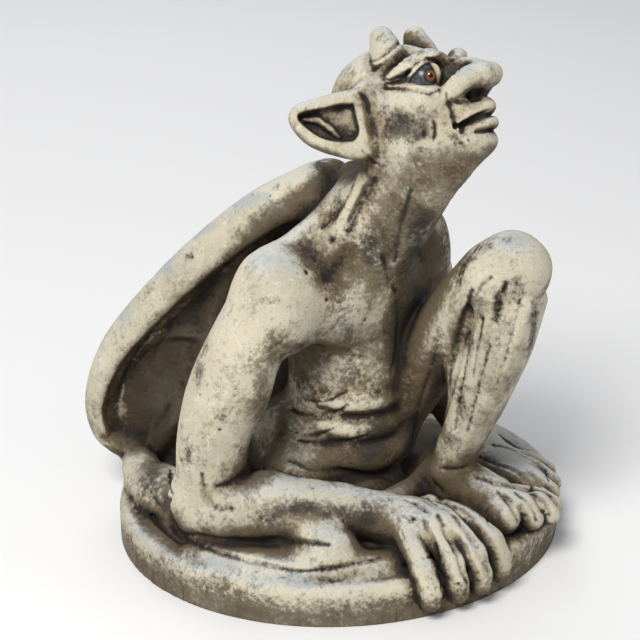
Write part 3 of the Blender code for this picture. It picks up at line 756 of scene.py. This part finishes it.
BODY_LINES = (
    (2.4, 3.0, ((374, 180), (369, 191), (362, 205), (355, 219), (348, 232))),
    (2.0, 2.0, ((356, 176), (350, 188), (342, 203), (333, 216), (322, 228))),
    (1.5, 1.5, ((411, 190), (404, 214), (399, 238), (395, 262))),
    (1.8, 1.6, ((382, 256), (388, 275), (396, 292))),
    (1.3, 1.8, ((491, 277), (483, 284), (476, 296))),
    (1.6, 1.8, ((478, 246), (466, 262), (459, 282))),
    (0.8, 1.0, ((294, 396), (308, 401), (327, 401), (348, 391))),
    (1.3, 1.8, ((292, 410), (305, 415), (320, 417), (334, 413), (348, 404))),
    (0.8, 1.0, ((290, 431), (305, 435), (321, 434), (335, 428), (346, 419))),
    (1.2, 1.6, ((298, 440), (320, 443), (345, 441), (368, 434))),
    (1.6, 2.2, ((290, 461), (310, 469), (331, 471), (362, 474), (392, 480))),
    (1.0, 0.5, ((255, 313), (273, 301), (290, 291))),
    (0.7, 0.6, ((263, 354), (276, 346), (290, 335))),
    (0.7, 0.6, ((272, 368), (284, 357), (296, 349))),
    (0.7, 0.9, ((354, 362), (361, 357), (369, 358))),
    (1.2, 1.0, ((396, 300), (398, 325), (396, 350), (391, 372))),
    (1.0, 1.5, ((483, 244), (474, 256), (461, 268), (455, 290))),
    (1.6, 1.8, ((506, 283), (501, 300), (496, 322))),
    (1.3, 1.2, ((484, 318), (477, 345), (473, 378))),
    (1.2, 1.0, ((520, 300), (513, 330), (506, 357), (497, 385))),
    (0.7, 0.8, ((533, 281), (541, 286), (546, 282))),
    (1.3, 1.2, ((438, 340), (431, 370), (421, 400), (413, 436))),
    (1.6, 1.6, ((472, 290), (463, 320), (455, 352), (449, 385))),
    (1.5, 1.3, ((470, 345), (463, 375), (458, 405), (455, 430))),
    (1.4, 1.2, ((490, 345), (482, 375), (474, 405), (467, 432))),
    (1.0, 1.4, ((439, 467), (450, 469), (468, 466))),
)
ARM_LINES = (
    (1.5, 2.4, ((202, 474), (204, 488), (206, 498), (213, 506), (222, 510), (234, 508))),
    (1.5, 2.0, ((217, 486), (230, 483), (241, 477), (251, 471), (262, 463))),
    (0.9, 0.7, ((262, 465), (281, 471), (300, 476))),
    (0.7, 0.6, ((279, 491), (290, 489), (300, 488))),
    (1.4, 1.8, ((170, 470), (172, 494), (170, 510), (177, 528))),
    (1.5, 1.8, ((178, 528), (190, 535), (220, 539), (260, 540), (300, 543), (330, 545))),
    (1.4, 0.5, ((232, 300), (226, 322), (223, 345))),
    (1.4, 0.5, ((236, 392), (231, 414), (229, 436))),
)
HAND_LINES = (
    (1.6, 3.2, ((424, 521), (428, 532), (432, 543), (436, 556), (440, 573), (442, 588))),
    (1.7, 3.4, ((438, 515), (447, 533), (455, 547), (462, 565), (468, 584))),
    (2.0, 3.6, ((453, 514), (464, 526), (474, 540), (483, 556), (489, 572))),
    (1.2, 1.2, ((405, 500), (417, 505), (428, 513))),
    (1.2, 1.2, ((420, 496), (436, 504), (450, 512))),
    (1.2, 1.2, ((438, 500), (456, 507), (470, 517))),
    (0.7, 1.0, ((421, 557), (426, 559), (432, 556))),
    (0.6, 0.8, ((422, 564), (427, 566), (433, 563))),
    (0.7, 1.0, ((446, 551), (451, 553), (457, 550))),
    (0.6, 0.8, ((449, 559), (454, 561), (459, 558))),
    (0.7, 1.0, ((472, 551), (477, 553), (483, 550))),
    (0.6, 0.8, ((474, 557), (479, 559), (484, 556))),
    (0.7, 0.9, ((427, 587), (432, 590), (438, 587))),
    (0.7, 0.9, ((451, 583), (456, 585), (461, 582))),
    (0.7, 0.9, ((475, 580), (480, 582), (485, 579))),
    (0.7, 0.9, ((400, 529), (402, 535), (406, 541))),
    (1.4, 2.0, ((433, 480), (440, 490), (441, 503))),
    (1.5, 2.2, ((480, 457), (500, 465), (521, 475), (541, 487))),
    (1.5, 2.2, ((494, 445), (515, 450), (534, 461), (547, 474))),
    (0.7, 1.0, ((544, 472), (548, 478), (550, 486))),
    (0.7, 1.0, ((527, 480), (530, 485), (532, 491))),
    (1.6, 2.4, ((478, 478), (500, 484), (525, 490), (552, 496))),
    (0.7, 1.1, ((489, 507), (486, 514), (488, 522), (494, 528))),
    (1.5, 2.4, ((498, 492), (507, 500), (514, 510), (518, 522))),
    (1.3, 2.0, ((516, 494), (526, 500), (533, 509), (536, 520))),
    (1.2, 1.8, ((532, 494), (541, 500), (547, 508), (549, 516))),
    (0.6, 0.9, ((521, 514), (527, 516), (531, 513))),
    (0.6, 0.9, ((538, 511), (543, 512), (546, 509))),
)
WING_LINES = (
    (1.0, 1.2, ((169, 334), (188, 332), (205, 331))),
    (0.9, 1.0, ((179, 244), (195, 231), (211, 221))),
    (0.8, 0.9, ((180, 312), (168, 330), (155, 352), (143, 376))),
    (0.8, 0.9, ((160, 322), (142, 345), (126, 372), (116, 402))),
)
BASE_LINES = (
    (1.3, 1.8, ((151, 492), (160, 506), (169, 516), (176, 530), (186, 540), (201, 547))),
    (1.3, 1.8, ((201, 547), (221, 552), (241, 558), (262, 563), (285, 569), (301, 571))),
    (1.2, 1.6, ((301, 571), (321, 570), (341, 568), (362, 562), (380, 557))),
)
# Ridges that stand out of the figure, given the same way with a depth below 0
RIDGES = (
    (1.8, -1.5, ((376, 176), (367, 200), (356, 222), (345, 236))),
    (1.3, -1.2, ((175, 390), (166, 402), (155, 422), (148, 442), (140, 460))),
    (1.2, -1.0, ((404, 497), (415, 500), (428, 507), (440, 514))),
    (1.0, -0.9, ((312, 112), (321, 121), (328, 130))),
    (2.2, -1.5, ((497, 288), (490, 310), (486, 334), (482, 360))),
    (1.3, -1.0, ((424, 60), (434, 55), (443, 53))),
    (0.8, -0.6, ((387, 82), (399, 79), (408, 73))),
    (0.8, -0.6, ((388, 86), (400, 86), (411, 86))),
)
# Pits, and one wart with a depth below 0: the photograph's pixel, half-width and depth
PITS = (
    (332, 241, 1.6, 2.2), (307, 272, 1.1, 1.2), (213, 295, 1.0, 1.1), (220, 430, 1.0, 1.2),
    (232, 420, 1.6, -1.2), (189, 451, 1.1, 1.2), (181, 461, 1.0, 1.2), (413, 519, 0.9, 1.1),
    (251, 352, 0.8, 0.9), (404, 263, 0.9, 1.0), (523, 262, 0.8, 0.9), (468, 140, 0.7, 0.8),
    (327, 300, 0.8, 0.8), (365, 320, 0.8, 0.9), (528, 305, 0.8, 0.9), (270, 196, 1.0, 1.0),
    (192, 257, 1.0, 1.0),
)


def carve_lines(clay):
    for lines in (HEAD_LINES, BODY_LINES, ARM_LINES, HAND_LINES, WING_LINES, BASE_LINES, RIDGES):
        for width, depth, pixels in lines:
            clay.line(pixels, width, depth)
    for x, y, width, depth in PITS:
        clay.dent((x, y), width, depth)


def figure_clay():
    clay = Clay(*(grid_line(low, high, fine_spans) for low, high, fine_spans in GRID))
    base(clay)
    for form in (mound, rock, torso):
        form(clay)
    for side in SIDES:
        wing(clay, side)
    for form in (neck, right_leg, left_arm, left_leg, right_arm, right_hand, left_foot, left_hand, head):
        form(clay)
    groove(clay)
    carve_lines(clay)
    cut, (_, _, z) = clay.window((-140, -140, -10), (140, 140, 4))
    clay.field[cut] = np.maximum(clay.field[cut], -z)
    return clay


def hemisphere():
    """Directions spread over the half sphere above a surface, as across, along and out."""
    steps = np.arange(SHELTER_RAYS) + 0.5
    out = 1 - SHELTER_LEAN * steps / SHELTER_RAYS
    turn = steps * math.pi * (3 - math.sqrt(5))
    flat = np.sqrt(1 - out**2)
    return np.column_stack([flat * np.cos(turn), flat * np.sin(turn), out])


def shelter(clay, verts, normals, reach):
    """How far the stone around each vertex hides it from the open, from 0 to 1."""
    across = np.cross(normals, (0.31, 0.17, 0.93))
    across /= np.linalg.norm(across, axis=1, keepdims=True)
    along = np.cross(normals, across)
    hidden = np.zeros(len(verts))
    for a, b, out in hemisphere():
        way = a * across + b * along + out * normals
        free = clay.sample(verts + way * reach)
        hidden += np.clip(1 - free / (reach * out), 0, 1.6)
    return np.clip(hidden / SHELTER_RAYS, 0, 1)


def near_lines(clay, verts):
    """How much of an engraved line each vertex lies in, from 0 to 1."""
    tree = KDTree(len(clay.drawn))
    for i, (place, _, _) in enumerate(clay.drawn):
        tree.insert(place, i)
    tree.balance()
    strengths = np.zeros(len(verts))
    for k, vert in enumerate(verts):
        _, i, distance = tree.find(vert)
        _, width, depth = clay.drawn[i]
        strengths[k] = min(depth / DARKEST_DEPTH, 1) * math.exp(-(distance / width)**2)
    return strengths


def soft_spots(verts, spots):
    """A soft patch round each spot: a place and its radii along the axes."""
    total = np.zeros(len(verts))
    for centre, radii in spots:
        total = np.maximum(total, np.exp(-(((verts - centre) / radii)**2).sum(1)))
    return total


# The wings' skin for the paint: the share of the bar's radius beyond which it starts, how it fades in there,
# how far from its middle it reaches and fades, and where it starts beside the back and above the base
BAR_SHARE, SKIN_FADE, SKIN_MIDDLE, SKIN_DEPTH, SKIN_DEPTH_FADE = 0.75, 4, -4, 16, 5
SKIN_START, SKIN_FOOT = 12, 24


def membrane(verts):
    """Where the skin of the wings is, between their bars and the base."""
    total = np.zeros(len(verts))
    bar = smooth_path(np.column_stack([WING_BAR, WING_BAR_RADII]), 4)
    for side in SIDES:
        frame = wing_frame(side)
        local = (verts - frame.origin) @ frame.rows.T
        from_bar = np.full(len(verts), FAR)
        for x, y, radius in bar:
            from_bar = np.minimum(from_bar, np.hypot(local[:, 0] - x, local[:, 1] - y) - BAR_SHARE * radius)
        inside = SKIN_DEPTH - np.abs(local[:, 2] - SKIN_MIDDLE)
        within = np.clip(from_bar / SKIN_FADE, 0, 1) * np.clip(inside / SKIN_DEPTH_FADE, 0, 1)
        outside = np.interp(local[:, 0], bar[:-2, 0], bar[:-2, 1]) < local[:, 1]
        within[(local[:, 0] < SKIN_START) | outside | (local[:, 1] < SKIN_FOOT)] = 0
        total = np.maximum(total, within)
    return total


# Brown grit on the chest, the throat and the belly, partly painted shade under the chin: places and radii
CHEST = (((6, -28, 130), (17, 16, 26)), ((8, -38, 168), (14, 15, 26)), ((20, -52, 196), (18, 20, 13)),
         ((10, -32, 90), (16, 14, 26)), ((-4, -30, 60), (26, 14, 9)))
# Stains, washes, painted shade and painted cool sky light, each as the photograph's pixel, its radii across
# and up in pixels, and how strong it is. The dark patches are partly stains and partly painted shade, the
# cool ones are painted sky light, and the soft brown in the deep places is partly the stone's brown wash and
# partly painted shade
DARK_STAINS_AND_SHADE = (
    (400, 131, 13, 8, 0.9), (416, 135, 11, 6, 0.85), (389, 126, 8, 10, 0.7), (425, 128, 6, 11, 0.75),
    (455, 68, 8, 7, 0.5), (463, 66, 7, 4, 0.6), (400, 120, 13, 9, 0.85), (417, 126, 10, 8, 0.8),
    (388, 112, 8, 7, 0.6), (425, 112, 7, 6, 0.6), (390, 135, 10, 5, 0.5), (309, 248, 6, 8, 1.0),
    (332, 241, 3, 3, 1.0), (273, 301, 11, 4, 0.7), (213, 205, 14, 6, 0.5), (278, 187, 5, 4, 0.7),
    (190, 256, 6, 3, 0.7), (150, 290, 9, 7, 0.5), (199, 375, 5, 13, 0.8), (207, 345, 4, 12, 0.6),
    (221, 415, 7, 6, 0.5), (189, 456, 5, 9, 0.7), (330, 178, 9, 14, 0.95), (320, 165, 7, 9, 0.95),
    (338, 200, 6, 10, 0.8), (300, 345, 8, 5, 0.7), (283, 355, 7, 5, 0.5), (430, 150, 16, 3, 0.5),
    (455, 140, 6, 7, 0.5), (378, 37, 7, 6, 0.5), (416, 52, 10, 4, 0.6), (408, 60, 9, 4, 0.6),
    (387, 62, 6, 4, 0.5), (469, 262, 6, 12, 0.7), (520, 285, 6, 16, 0.5), (497, 303, 4, 12, 0.7),
    (533, 330, 4, 28, 0.9), (508, 240, 9, 4, 0.5), (487, 246, 8, 4, 0.6), (470, 345, 4, 18, 0.7),
    (462, 400, 5, 20, 0.6), (455, 440, 8, 8, 0.6), (437, 375, 6, 30, 0.8), (300, 508, 22, 6, 0.85),
    (340, 512, 18, 7, 0.85), (270, 520, 12, 7, 0.7), (366, 517, 10, 10, 0.8), (310, 488, 9, 3, 0.5),
    (150, 480, 10, 14, 0.9), (165, 505, 8, 8, 0.8), (412, 519, 4, 4, 0.5), (445, 500, 7, 5, 0.4),
    (480, 505, 8, 8, 0.5), (372, 250, 10, 18, 0.7), (420, 238, 12, 26, 0.9), (398, 330, 8, 34, 0.8),
    (350, 370, 14, 14, 0.6), (372, 440, 16, 26, 0.8), (300, 385, 12, 8, 0.8), (345, 310, 10, 18, 0.45),
    (412, 430, 9, 26, 0.9), (447, 240, 5, 30, 0.5),
)
# Painted cool sky light on upward faces
COOL_SKY_PATCHES = (
    (462, 70, 8, 5, 0.9), (472, 63, 8, 4, 0.8), (452, 60, 5, 6, 0.8), (375, 82, 7, 16, 0.5),
    (384, 100, 7, 8, 0.5), (365, 58, 5, 12, 0.4), (250, 200, 26, 7, 0.8), (205, 228, 22, 8, 0.8),
    (165, 265, 18, 10, 0.8), (126, 308, 12, 16, 0.8), (100, 350, 8, 18, 0.7), (515, 240, 14, 7, 0.7),
    (330, 478, 30, 5, 0.8), (290, 474, 18, 5, 0.8), (440, 505, 24, 7, 0.7), (470, 485, 14, 7, 0.7),
    (510, 462, 18, 8, 0.8), (210, 560, 26, 8, 0.9), (300, 580, 30, 6, 0.9), (150, 530, 10, 16, 0.9),
    (272, 262, 16, 12, 0.5), (455, 215, 6, 20, 0.8), (540, 450, 14, 10, 0.8), (340, 330, 10, 16, 0.4),
)
# Soft brown in the deep places: partly the stone's brown wash, partly painted shade
BROWN_WASH_AND_SHADE = (
    (415, 182, 26, 13, 1.0), (445, 170, 22, 9, 0.9), (402, 212, 22, 26, 0.95), (388, 240, 20, 22, 0.9),
    (470, 158, 16, 6, 0.7), (372, 275, 22, 24, 0.85), (340, 260, 16, 14, 0.4), (400, 320, 16, 40, 0.85),
    (372, 350, 16, 30, 0.7), (350, 378, 16, 14, 0.75), (395, 400, 14, 36, 0.85), (378, 440, 20, 30, 0.9),
    (300, 380, 14, 10, 0.8), (285, 410, 9, 34, 0.85), (270, 350, 8, 22, 0.6), (262, 400, 9, 36, 0.7),
    (250, 450, 12, 12, 0.6), (300, 512, 44, 10, 0.85), (370, 515, 22, 14, 0.7), (436, 390, 8, 50, 0.8),
    (446, 250, 8, 40, 0.6), (455, 300, 8, 34, 0.6), (415, 465, 26, 14, 0.8), (525, 560, 26, 22, 0.7),
    (200, 585, 30, 9, 0.6), (470, 600, 60, 9, 0.7), (155, 465, 16, 26, 0.9), (335, 170, 12, 20, 0.8),
    (455, 150, 14, 6, 0.6), (330, 300, 12, 14, 0.35), (470, 497, 14, 8, 0.5),
)
# How much wider each patch is laid than its radii, and how deep it reaches against its larger radius
PATCH_SPREAD, PATCH_DEPTH = 1.4, 1.3
# Where the ground is rough, behind the elbows and round the seat: places and radii
ROUGH = (((-84, 46, 32), (16, 26, 16)), ((-78, 76, 30), (14, 18, 12)), ((0, 60, 30), (60, 40, 8)),
         ((40, -20, 30), (30, 20, 8)), ((-60, -10, 30), (22, 14, 9)), ((66, 86, 30), (18, 14, 12)))


def patched(clay, verts, patches):
    """How strongly each vertex lies in the patches of staining, painted shade and painted light, each laid
    where the photograph shows it.
    """
    total = np.zeros(len(verts))
    places = clay.seen([patch[:2] for patch in patches])
    for place, (_, _, across, high, strength) in zip(places, patches):
        away = verts - place
        radii = np.array([across, PATCH_DEPTH * max(across, high), high]) / PIXELS_PER_UNIT * PATCH_SPREAD
        flat = np.column_stack([away @ CAMERA.right, away @ CAMERA.ahead, away @ CAMERA.up]) / radii
        total = np.maximum(total, strength * np.exp(-(flat**2).sum(1)))
    return total


def placed(name, data):
    """A new object in the scene."""
    made = bpy.data.objects.new(name, data)
    bpy.context.scene.collection.objects.link(made)
    return made


def set_places(mesh, verts):
    mesh.vertices.foreach_set("co", (verts * UNIT).astype(np.float32).ravel())


def vectors(items, name):
    """One vector of each item, as rows."""
    values = np.empty(3 * len(items), np.float32)
    items.foreach_get(name, values)
    return values.reshape(-1, 3).astype(float)


def store(mesh, name, values):
    layer = mesh.attributes.new(name, "FLOAT", "POINT")
    layer.data.foreach_set("value", values.astype(np.float32))


def mesh_from(verts, quads):
    mesh = bpy.data.meshes.new("gargoyle")
    mesh.vertices.add(len(verts))
    set_places(mesh, verts)
    mesh.loops.add(4 * len(quads))
    mesh.loops.foreach_set("vertex_index", quads.astype(np.int32).ravel())
    mesh.polygons.add(len(quads))
    mesh.polygons.foreach_set("loop_start", np.arange(0, 4 * len(quads), 4, dtype=np.int32))
    mesh.update(calc_edges=True)
    return mesh


def thinned(mesh):
    """The mesh brought down to the triangles it may have."""
    rough = placed("rough", mesh)
    thin = rough.modifiers.new("thin", "DECIMATE")
    thin.ratio = min(1.0, MOST_TRIANGLES / (2 * len(mesh.polygons)))
    thin.use_collapse_triangulate = True
    seen = rough.evaluated_get(bpy.context.evaluated_depsgraph_get())
    made = bpy.data.meshes.new_from_object(seen)
    bpy.data.objects.remove(rough)
    bpy.data.meshes.remove(mesh)
    return made


def gargoyle():
    """The figure and its base as one mesh, with what its paint needs stored on the vertices."""
    clay = figure_clay()
    mesh = thinned(mesh_from(*clay.skin()))
    mesh.name = "gargoyle"
    verts, normals = vectors(mesh.vertices, "co") / UNIT, vectors(mesh.vertex_normals, "vector")
    rough = soft_spots(verts, ROUGH)
    worn = np.array([noise.fractal(Vector(v) * WORN_SCALE, 0.7, 2.1, 3) for v in verts])
    ragged = np.array([noise.fractal(Vector(v) * ROUGH_SCALE, 0.6, 2.1, 3) for v in verts])
    lift = (WORN_LIFT * worn + ROUGH_LIFT * rough * ragged) * np.clip(verts[:, 2] / LIFT_START, 0, 1)
    verts += normals * lift[:, None]
    set_places(mesh, verts)
    mesh.update()
    store(mesh, "line", near_lines(clay, verts))
    # In the crevices the shelter carries the stone's dark wash, in the hollows that wash and painted shade,
    # and in the deep places painted shade
    for name, reach in (("cavity", CAVITY_REACH), ("hollow", HOLLOW_REACH), ("deep", DEEP_REACH)):
        store(mesh, name, shelter(clay, verts, normals, reach))
    store(mesh, "membrane", membrane(verts))
    # Brown grit and painted shade
    store(mesh, "chest", np.maximum(soft_spots(verts, CHEST), patched(clay, verts, BROWN_WASH_AND_SHADE)))
    # Dark stains and painted shade
    store(mesh, "dark_stain_and_shade", patched(clay, verts, DARK_STAINS_AND_SHADE))
    # Painted cool sky light in patches
    store(mesh, "cool_sky_patch", patched(clay, verts, COOL_SKY_PATCHES))
    mesh.shade_smooth()
    return placed("gargoyle_stone", mesh)


def colour(red, green, blue):
    """A colour as a shader takes it, from the values that a photograph shows."""
    return tuple(c / 255 / 12.92 if c <= 10 else ((c / 255 + 0.055) / 1.055)**2.4
                 for c in (red, green, blue)) + (1,)


class Paint:
    """Builds one material's nodes."""

    def __init__(self, name):
        self.material = bpy.data.materials.new(name)
        self.material.use_nodes = True
        self.nodes = self.material.node_tree.nodes
        self.links = self.material.node_tree.links
        self.shader = self.nodes["Principled BSDF"]

    def feed(self, node, inputs):
        """Gives each of these inputs of a node a value or the output of another node."""
        for name, value in inputs.items():
            if hasattr(value, "is_output"):
                self.links.new(value, node.inputs[name])
            else:
                node.inputs[name].default_value = value

    def node(self, kind, inputs, **settings):
        made = self.nodes.new(kind)
        for name, value in settings.items():
            setattr(made, name, value)
        self.feed(made, inputs)
        return made

    def attribute(self, name):
        return self.node("ShaderNodeAttribute", {}, attribute_name=name).outputs["Fac"]

    def place(self):
        return self.node("ShaderNodeTexCoord", {}).outputs["Object"]

    def height_of(self, vector):
        return self.node("ShaderNodeSeparateXYZ", {0: vector}).outputs["Z"]

    def noise(self, scale, detail, rough, twist=0.0):
        inputs = {"Vector": self.place(), "Scale": scale, "Detail": detail, "Roughness": rough,
                  "Distortion": twist}
        return self.node("ShaderNodeTexNoise", inputs).outputs["Fac"]

    def cells(self, scale):
        return self.node("ShaderNodeTexVoronoi", {"Vector": self.place(), "Scale": scale}).outputs["Distance"]

    def math(self, operation, a, b):
        return self.node("ShaderNodeMath", {0: a, 1: b}, operation=operation).outputs[0]

    def vector_math(self, operation, *vectors):
        return self.node("ShaderNodeVectorMath", dict(enumerate(vectors)), operation=operation).outputs

    def span(self, value, low, high, to_low=0.0, to_high=1.0):
        """A soft step from to_low to to_high as the value goes from low to high."""
        inputs = {"Value": value, "From Min": low, "From Max": high, "To Min": to_low, "To Max": to_high}
        return self.node("ShaderNodeMapRange", inputs, interpolation_type="SMOOTHSTEP").outputs["Result"]

    def mix(self, share, a, b):
        made = self.node("ShaderNodeMix", {"Factor": share, "A": a, "B": b}, data_type="RGBA")
        return made.outputs["Result"]


def stone_paint():
    """Cream cast stone under a brown-black wash rubbed off where it stands out, with painted shade and
    painted sky light.
    """
    p = Paint("gargoyle_stone")
    facing_up = p.height_of(p.node("ShaderNodeNewGeometry", {}).outputs["Normal"])
    height = p.height_of(p.place())
    line, cavity, hollow, deep = (p.attribute(n) for n in ("line", "cavity", "hollow", "deep"))
    skin, chest, dark, cool = (p.attribute(n) for n in ("membrane", "chest", "dark_stain_and_shade", "cool_sky_patch"))
    broad, mottle = p.noise(16, 3, 0.5), p.noise(62, 6, 0.66, 0.4)
    grit, specks, streaks = p.noise(380, 5, 0.72), p.noise(1000, 3, 0.65), p.noise(140, 6, 0.75, 1.2)
    loose, gritty = p.math("SUBTRACT", mottle, 0.5), p.math("SUBTRACT", grit, 0.5)

    def amount(value, spread, grain):
        """A share that the mottling and the grit break up."""
        broken = p.math("ADD", p.math("MULTIPLY", loose, spread), p.math("MULTIPLY", gritty, grain))
        return p.math("ADD", value, broken)

    def washed(tone, coats):
        """The tone under coats of paint, laid as their values rise from low to full, at most by most."""
        for value, low, full, most, shade in coats:
            tone = p.mix(p.span(value, low, full, 0, most), tone, shade)
        return tone

    tone = p.mix(p.span(broad, 0.36, 0.64), colour(206, 198, 174), colour(184, 176, 154))
    tone = washed(tone, ((streaks, 0.52, 0.68, 0.6, colour(226, 219, 200)),
                         (amount(grit, 0.8, 0.0), 0.5, 0.66, 0.45, colour(150, 140, 118))))
    # Painted cool sky light on the surfaces that face up, broken up by the mottling
    painted_sky_light = p.math("MULTIPLY", p.span(facing_up, 0.45, 0.95), p.span(mottle, 0.34, 0.58, 0.15, 0.75))
    tone = p.mix(painted_sky_light, tone, colour(194, 199, 199))
    # Painted shade on the surfaces that face down
    under = p.math("MULTIPLY", facing_up, -1.0)
    low = p.math("MULTIPLY", p.span(height, 0.030, 0.004), 0.85)
    grainy = p.mix(p.span(grit, 0.44, 0.62), colour(58, 46, 31), colour(124, 108, 78))
    # The first coat is painted cool sky light in patches
    tone = washed(tone, ((amount(cool, 1.6, 0.8), 0.2, 0.8, 0.7, colour(164, 169, 171)),
                         # Partly the stone's brown wash in its hollows, partly painted shade there
                         (amount(p.math("MULTIPLY", hollow, 1.5), 1.1, 0.7), 0.12, 0.62, 0.62,
                          colour(136, 116, 84)),
                         # Painted shade in the deep places between the limbs and the body
                         (amount(deep, 0.7, 0.5), 0.15, 0.54, 0.9, colour(84, 70, 48)),
                         # Painted shade on the undersides
                         (amount(under, 1.7, 0.7), -0.12, 0.7, 0.88, colour(86, 70, 48)),
                         # Brown grit, partly painted shade, on the chest, the throat and the belly and in the
                         # deep places
                         (amount(chest, 1.0, 1.6), 0.15, 0.85, 0.9, grainy),
                         (amount(skin, 1.5, 0.8), 0.3, 0.75, 0.93, colour(58, 47, 33)),
                         (amount(low, 1.0, 1.3), 0.3, 0.8, 0.85, colour(88, 75, 54)),
                         # Dark stains and painted shade
                         (amount(dark, 1.1, 1.3), 0.2, 0.9, 0.88, colour(46, 41, 38)),
                         # The dark wash in the hollows: partly the stone's own, partly painted shade
                         (amount(hollow, 0.9, 0.8), 0.34, 0.8, 0.93, colour(44, 35, 24)),
                         (amount(cavity, 0.5, 0.7), 0.22, 0.55, 0.94, colour(26, 21, 16)),
                         (amount(line, 0.5, 1.2), 0.2, 0.95, 0.94, colour(22, 18, 15)),
                         (specks, 0.62, 0.7, 0.7, colour(58, 47, 35)),
                         (streaks, 0.68, 0.76, 0.55, colour(48, 42, 36))))

    pits = p.math("MULTIPLY", p.span(p.cells(240), 0.0, 0.24, -1.4, 0), p.span(mottle, 0.5, 0.58))
    rough = p.math("ADD", grit, p.math("MULTIPLY", specks, 0.5))
    rough = p.math("ADD", rough, p.math("MULTIPLY", streaks, 0.7))
    rough = p.math("ADD", rough, pits)
    bump = p.node("ShaderNodeBump", {"Strength": 0.8, "Distance": 0.0007, "Height": rough})
    p.feed(p.shader, {"Base Color": tone, "Roughness": p.span(mottle, 0.3, 0.7, 0.55, 0.85),
                      "Specular IOR Level": 0.4, "Normal": bump.outputs["Normal"]})
    return p.material


def eye_paint():
    """A painted eye that looks along its own x: pupil, amber iris, dark ring, grey-blue white and a glint
    that is a painted highlight.
    """
    p = Paint("gargoyle_eye")
    across = p.vector_math("MULTIPLY", p.place(), (0, 1 / UNIT, 1 / UNIT))[0]
    radius = p.vector_math("LENGTH", across)["Value"]
    from_glint = p.vector_math("DISTANCE", across, GLINT_PLACE)["Value"]
    tone = p.mix(p.span(p.noise(300, 3, 0.6), 0.35, 0.65), colour(78, 84, 90), colour(40, 44, 50))
    iris = p.mix(p.span(radius, PUPIL_RADIUS, IRIS_RADIUS), colour(128, 80, 48), colour(66, 38, 23))
    for distance, ring, softness, shade in ((radius, IRIS_RADIUS + IRIS_EDGE, 0.2, colour(46, 30, 20)),
                                            (radius, IRIS_RADIUS, 0.3, iris),
                                            (radius, PUPIL_RADIUS, 0.2, colour(14, 11, 10)),
                                            (from_glint, GLINT_RADIUS, 0.2, colour(245, 244, 240))):
        tone = p.mix(p.span(distance, ring, ring - softness), tone, shade)
    p.feed(p.shader, {"Base Color": tone, "Roughness": 0.28})
    return p.material


def mesh_of(name, form, paint, **sizes):
    """A painted mesh of one of bmesh's own forms."""
    clay = bmesh.new()
    form(clay, **sizes)
    mesh = bpy.data.meshes.new(name)
    clay.to_mesh(mesh)
    clay.free()
    mesh.materials.append(paint)
    return mesh


def eyes(paint):
    """The two painted eyeballs, each with its x along its gaze."""
    made = []
    for name, side in zip(("eye_right", "eye_left"), SIDES):
        mesh = mesh_of(name, bmesh.ops.create_uvsphere, paint, u_segments=64, v_segments=40,
                       radius=EYE_RADIUS * UNIT)
        mesh.shade_smooth()
        ball = placed(name, mesh)
        gaze = Vector(HEAD.turn(mirrored(GAZE, side))).normalized()
        ball.rotation_euler = gaze.to_track_quat("X", "Z").to_euler()
        ball.location = Vector(HEAD.world(mirrored(EYE_PLACE, side))) * UNIT
        made.append(ball)
    return made


def floor():
    p = Paint("floor")
    p.feed(p.shader, {"Base Color": FLOOR_COLOUR, "Roughness": FLOOR_ROUGHNESS})
    mesh = mesh_of("floor", bmesh.ops.create_grid, p.material, x_segments=1, y_segments=1, size=FLOOR_HALF)
    placed("floor", mesh)


def light(name, place, size, power, tint):
    lamp = bpy.data.lights.new(name, "AREA")
    lamp.size, lamp.energy, lamp.color = size, power, tint
    made = placed(name, lamp)
    made.location = place
    made.rotation_euler = (Vector(LIGHTS_AIM) - Vector(place)).to_track_quat("-Z", "Y").to_euler()


def studio():
    """A pale floor, one large soft light from above on the left, two weaker ones and an even sky."""
    floor()
    for lamp in LIGHTS:
        light(*lamp)
    world = bpy.data.worlds.new("studio")
    world.use_nodes = True
    sky = world.node_tree.nodes["Background"]
    sky.inputs["Color"].default_value = SKY_COLOUR
    sky.inputs["Strength"].default_value = SKY_STRENGTH
    bpy.context.scene.world = world


def camera():
    lens = bpy.data.cameras.new("photo")
    lens.sensor_width = SENSOR
    lens.lens = CAMERA.focal / PHOTO_SIDE * SENSOR
    lens.clip_start = 0.01
    made = placed("photo", lens)
    made.location = Vector(CAMERA.place) * UNIT
    made.rotation_euler = Vector(CAMERA.ahead).to_track_quat("-Z", "Y").to_euler()
    bpy.context.scene.camera = made
    bpy.context.scene.view_settings.view_transform = "Standard"


stone = gargoyle()
stone.data.materials.append(stone_paint())
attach(stone, "root")
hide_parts("gargoyle")
for eye in eyes(eye_paint()):
    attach(eye, "root")
studio()
camera()
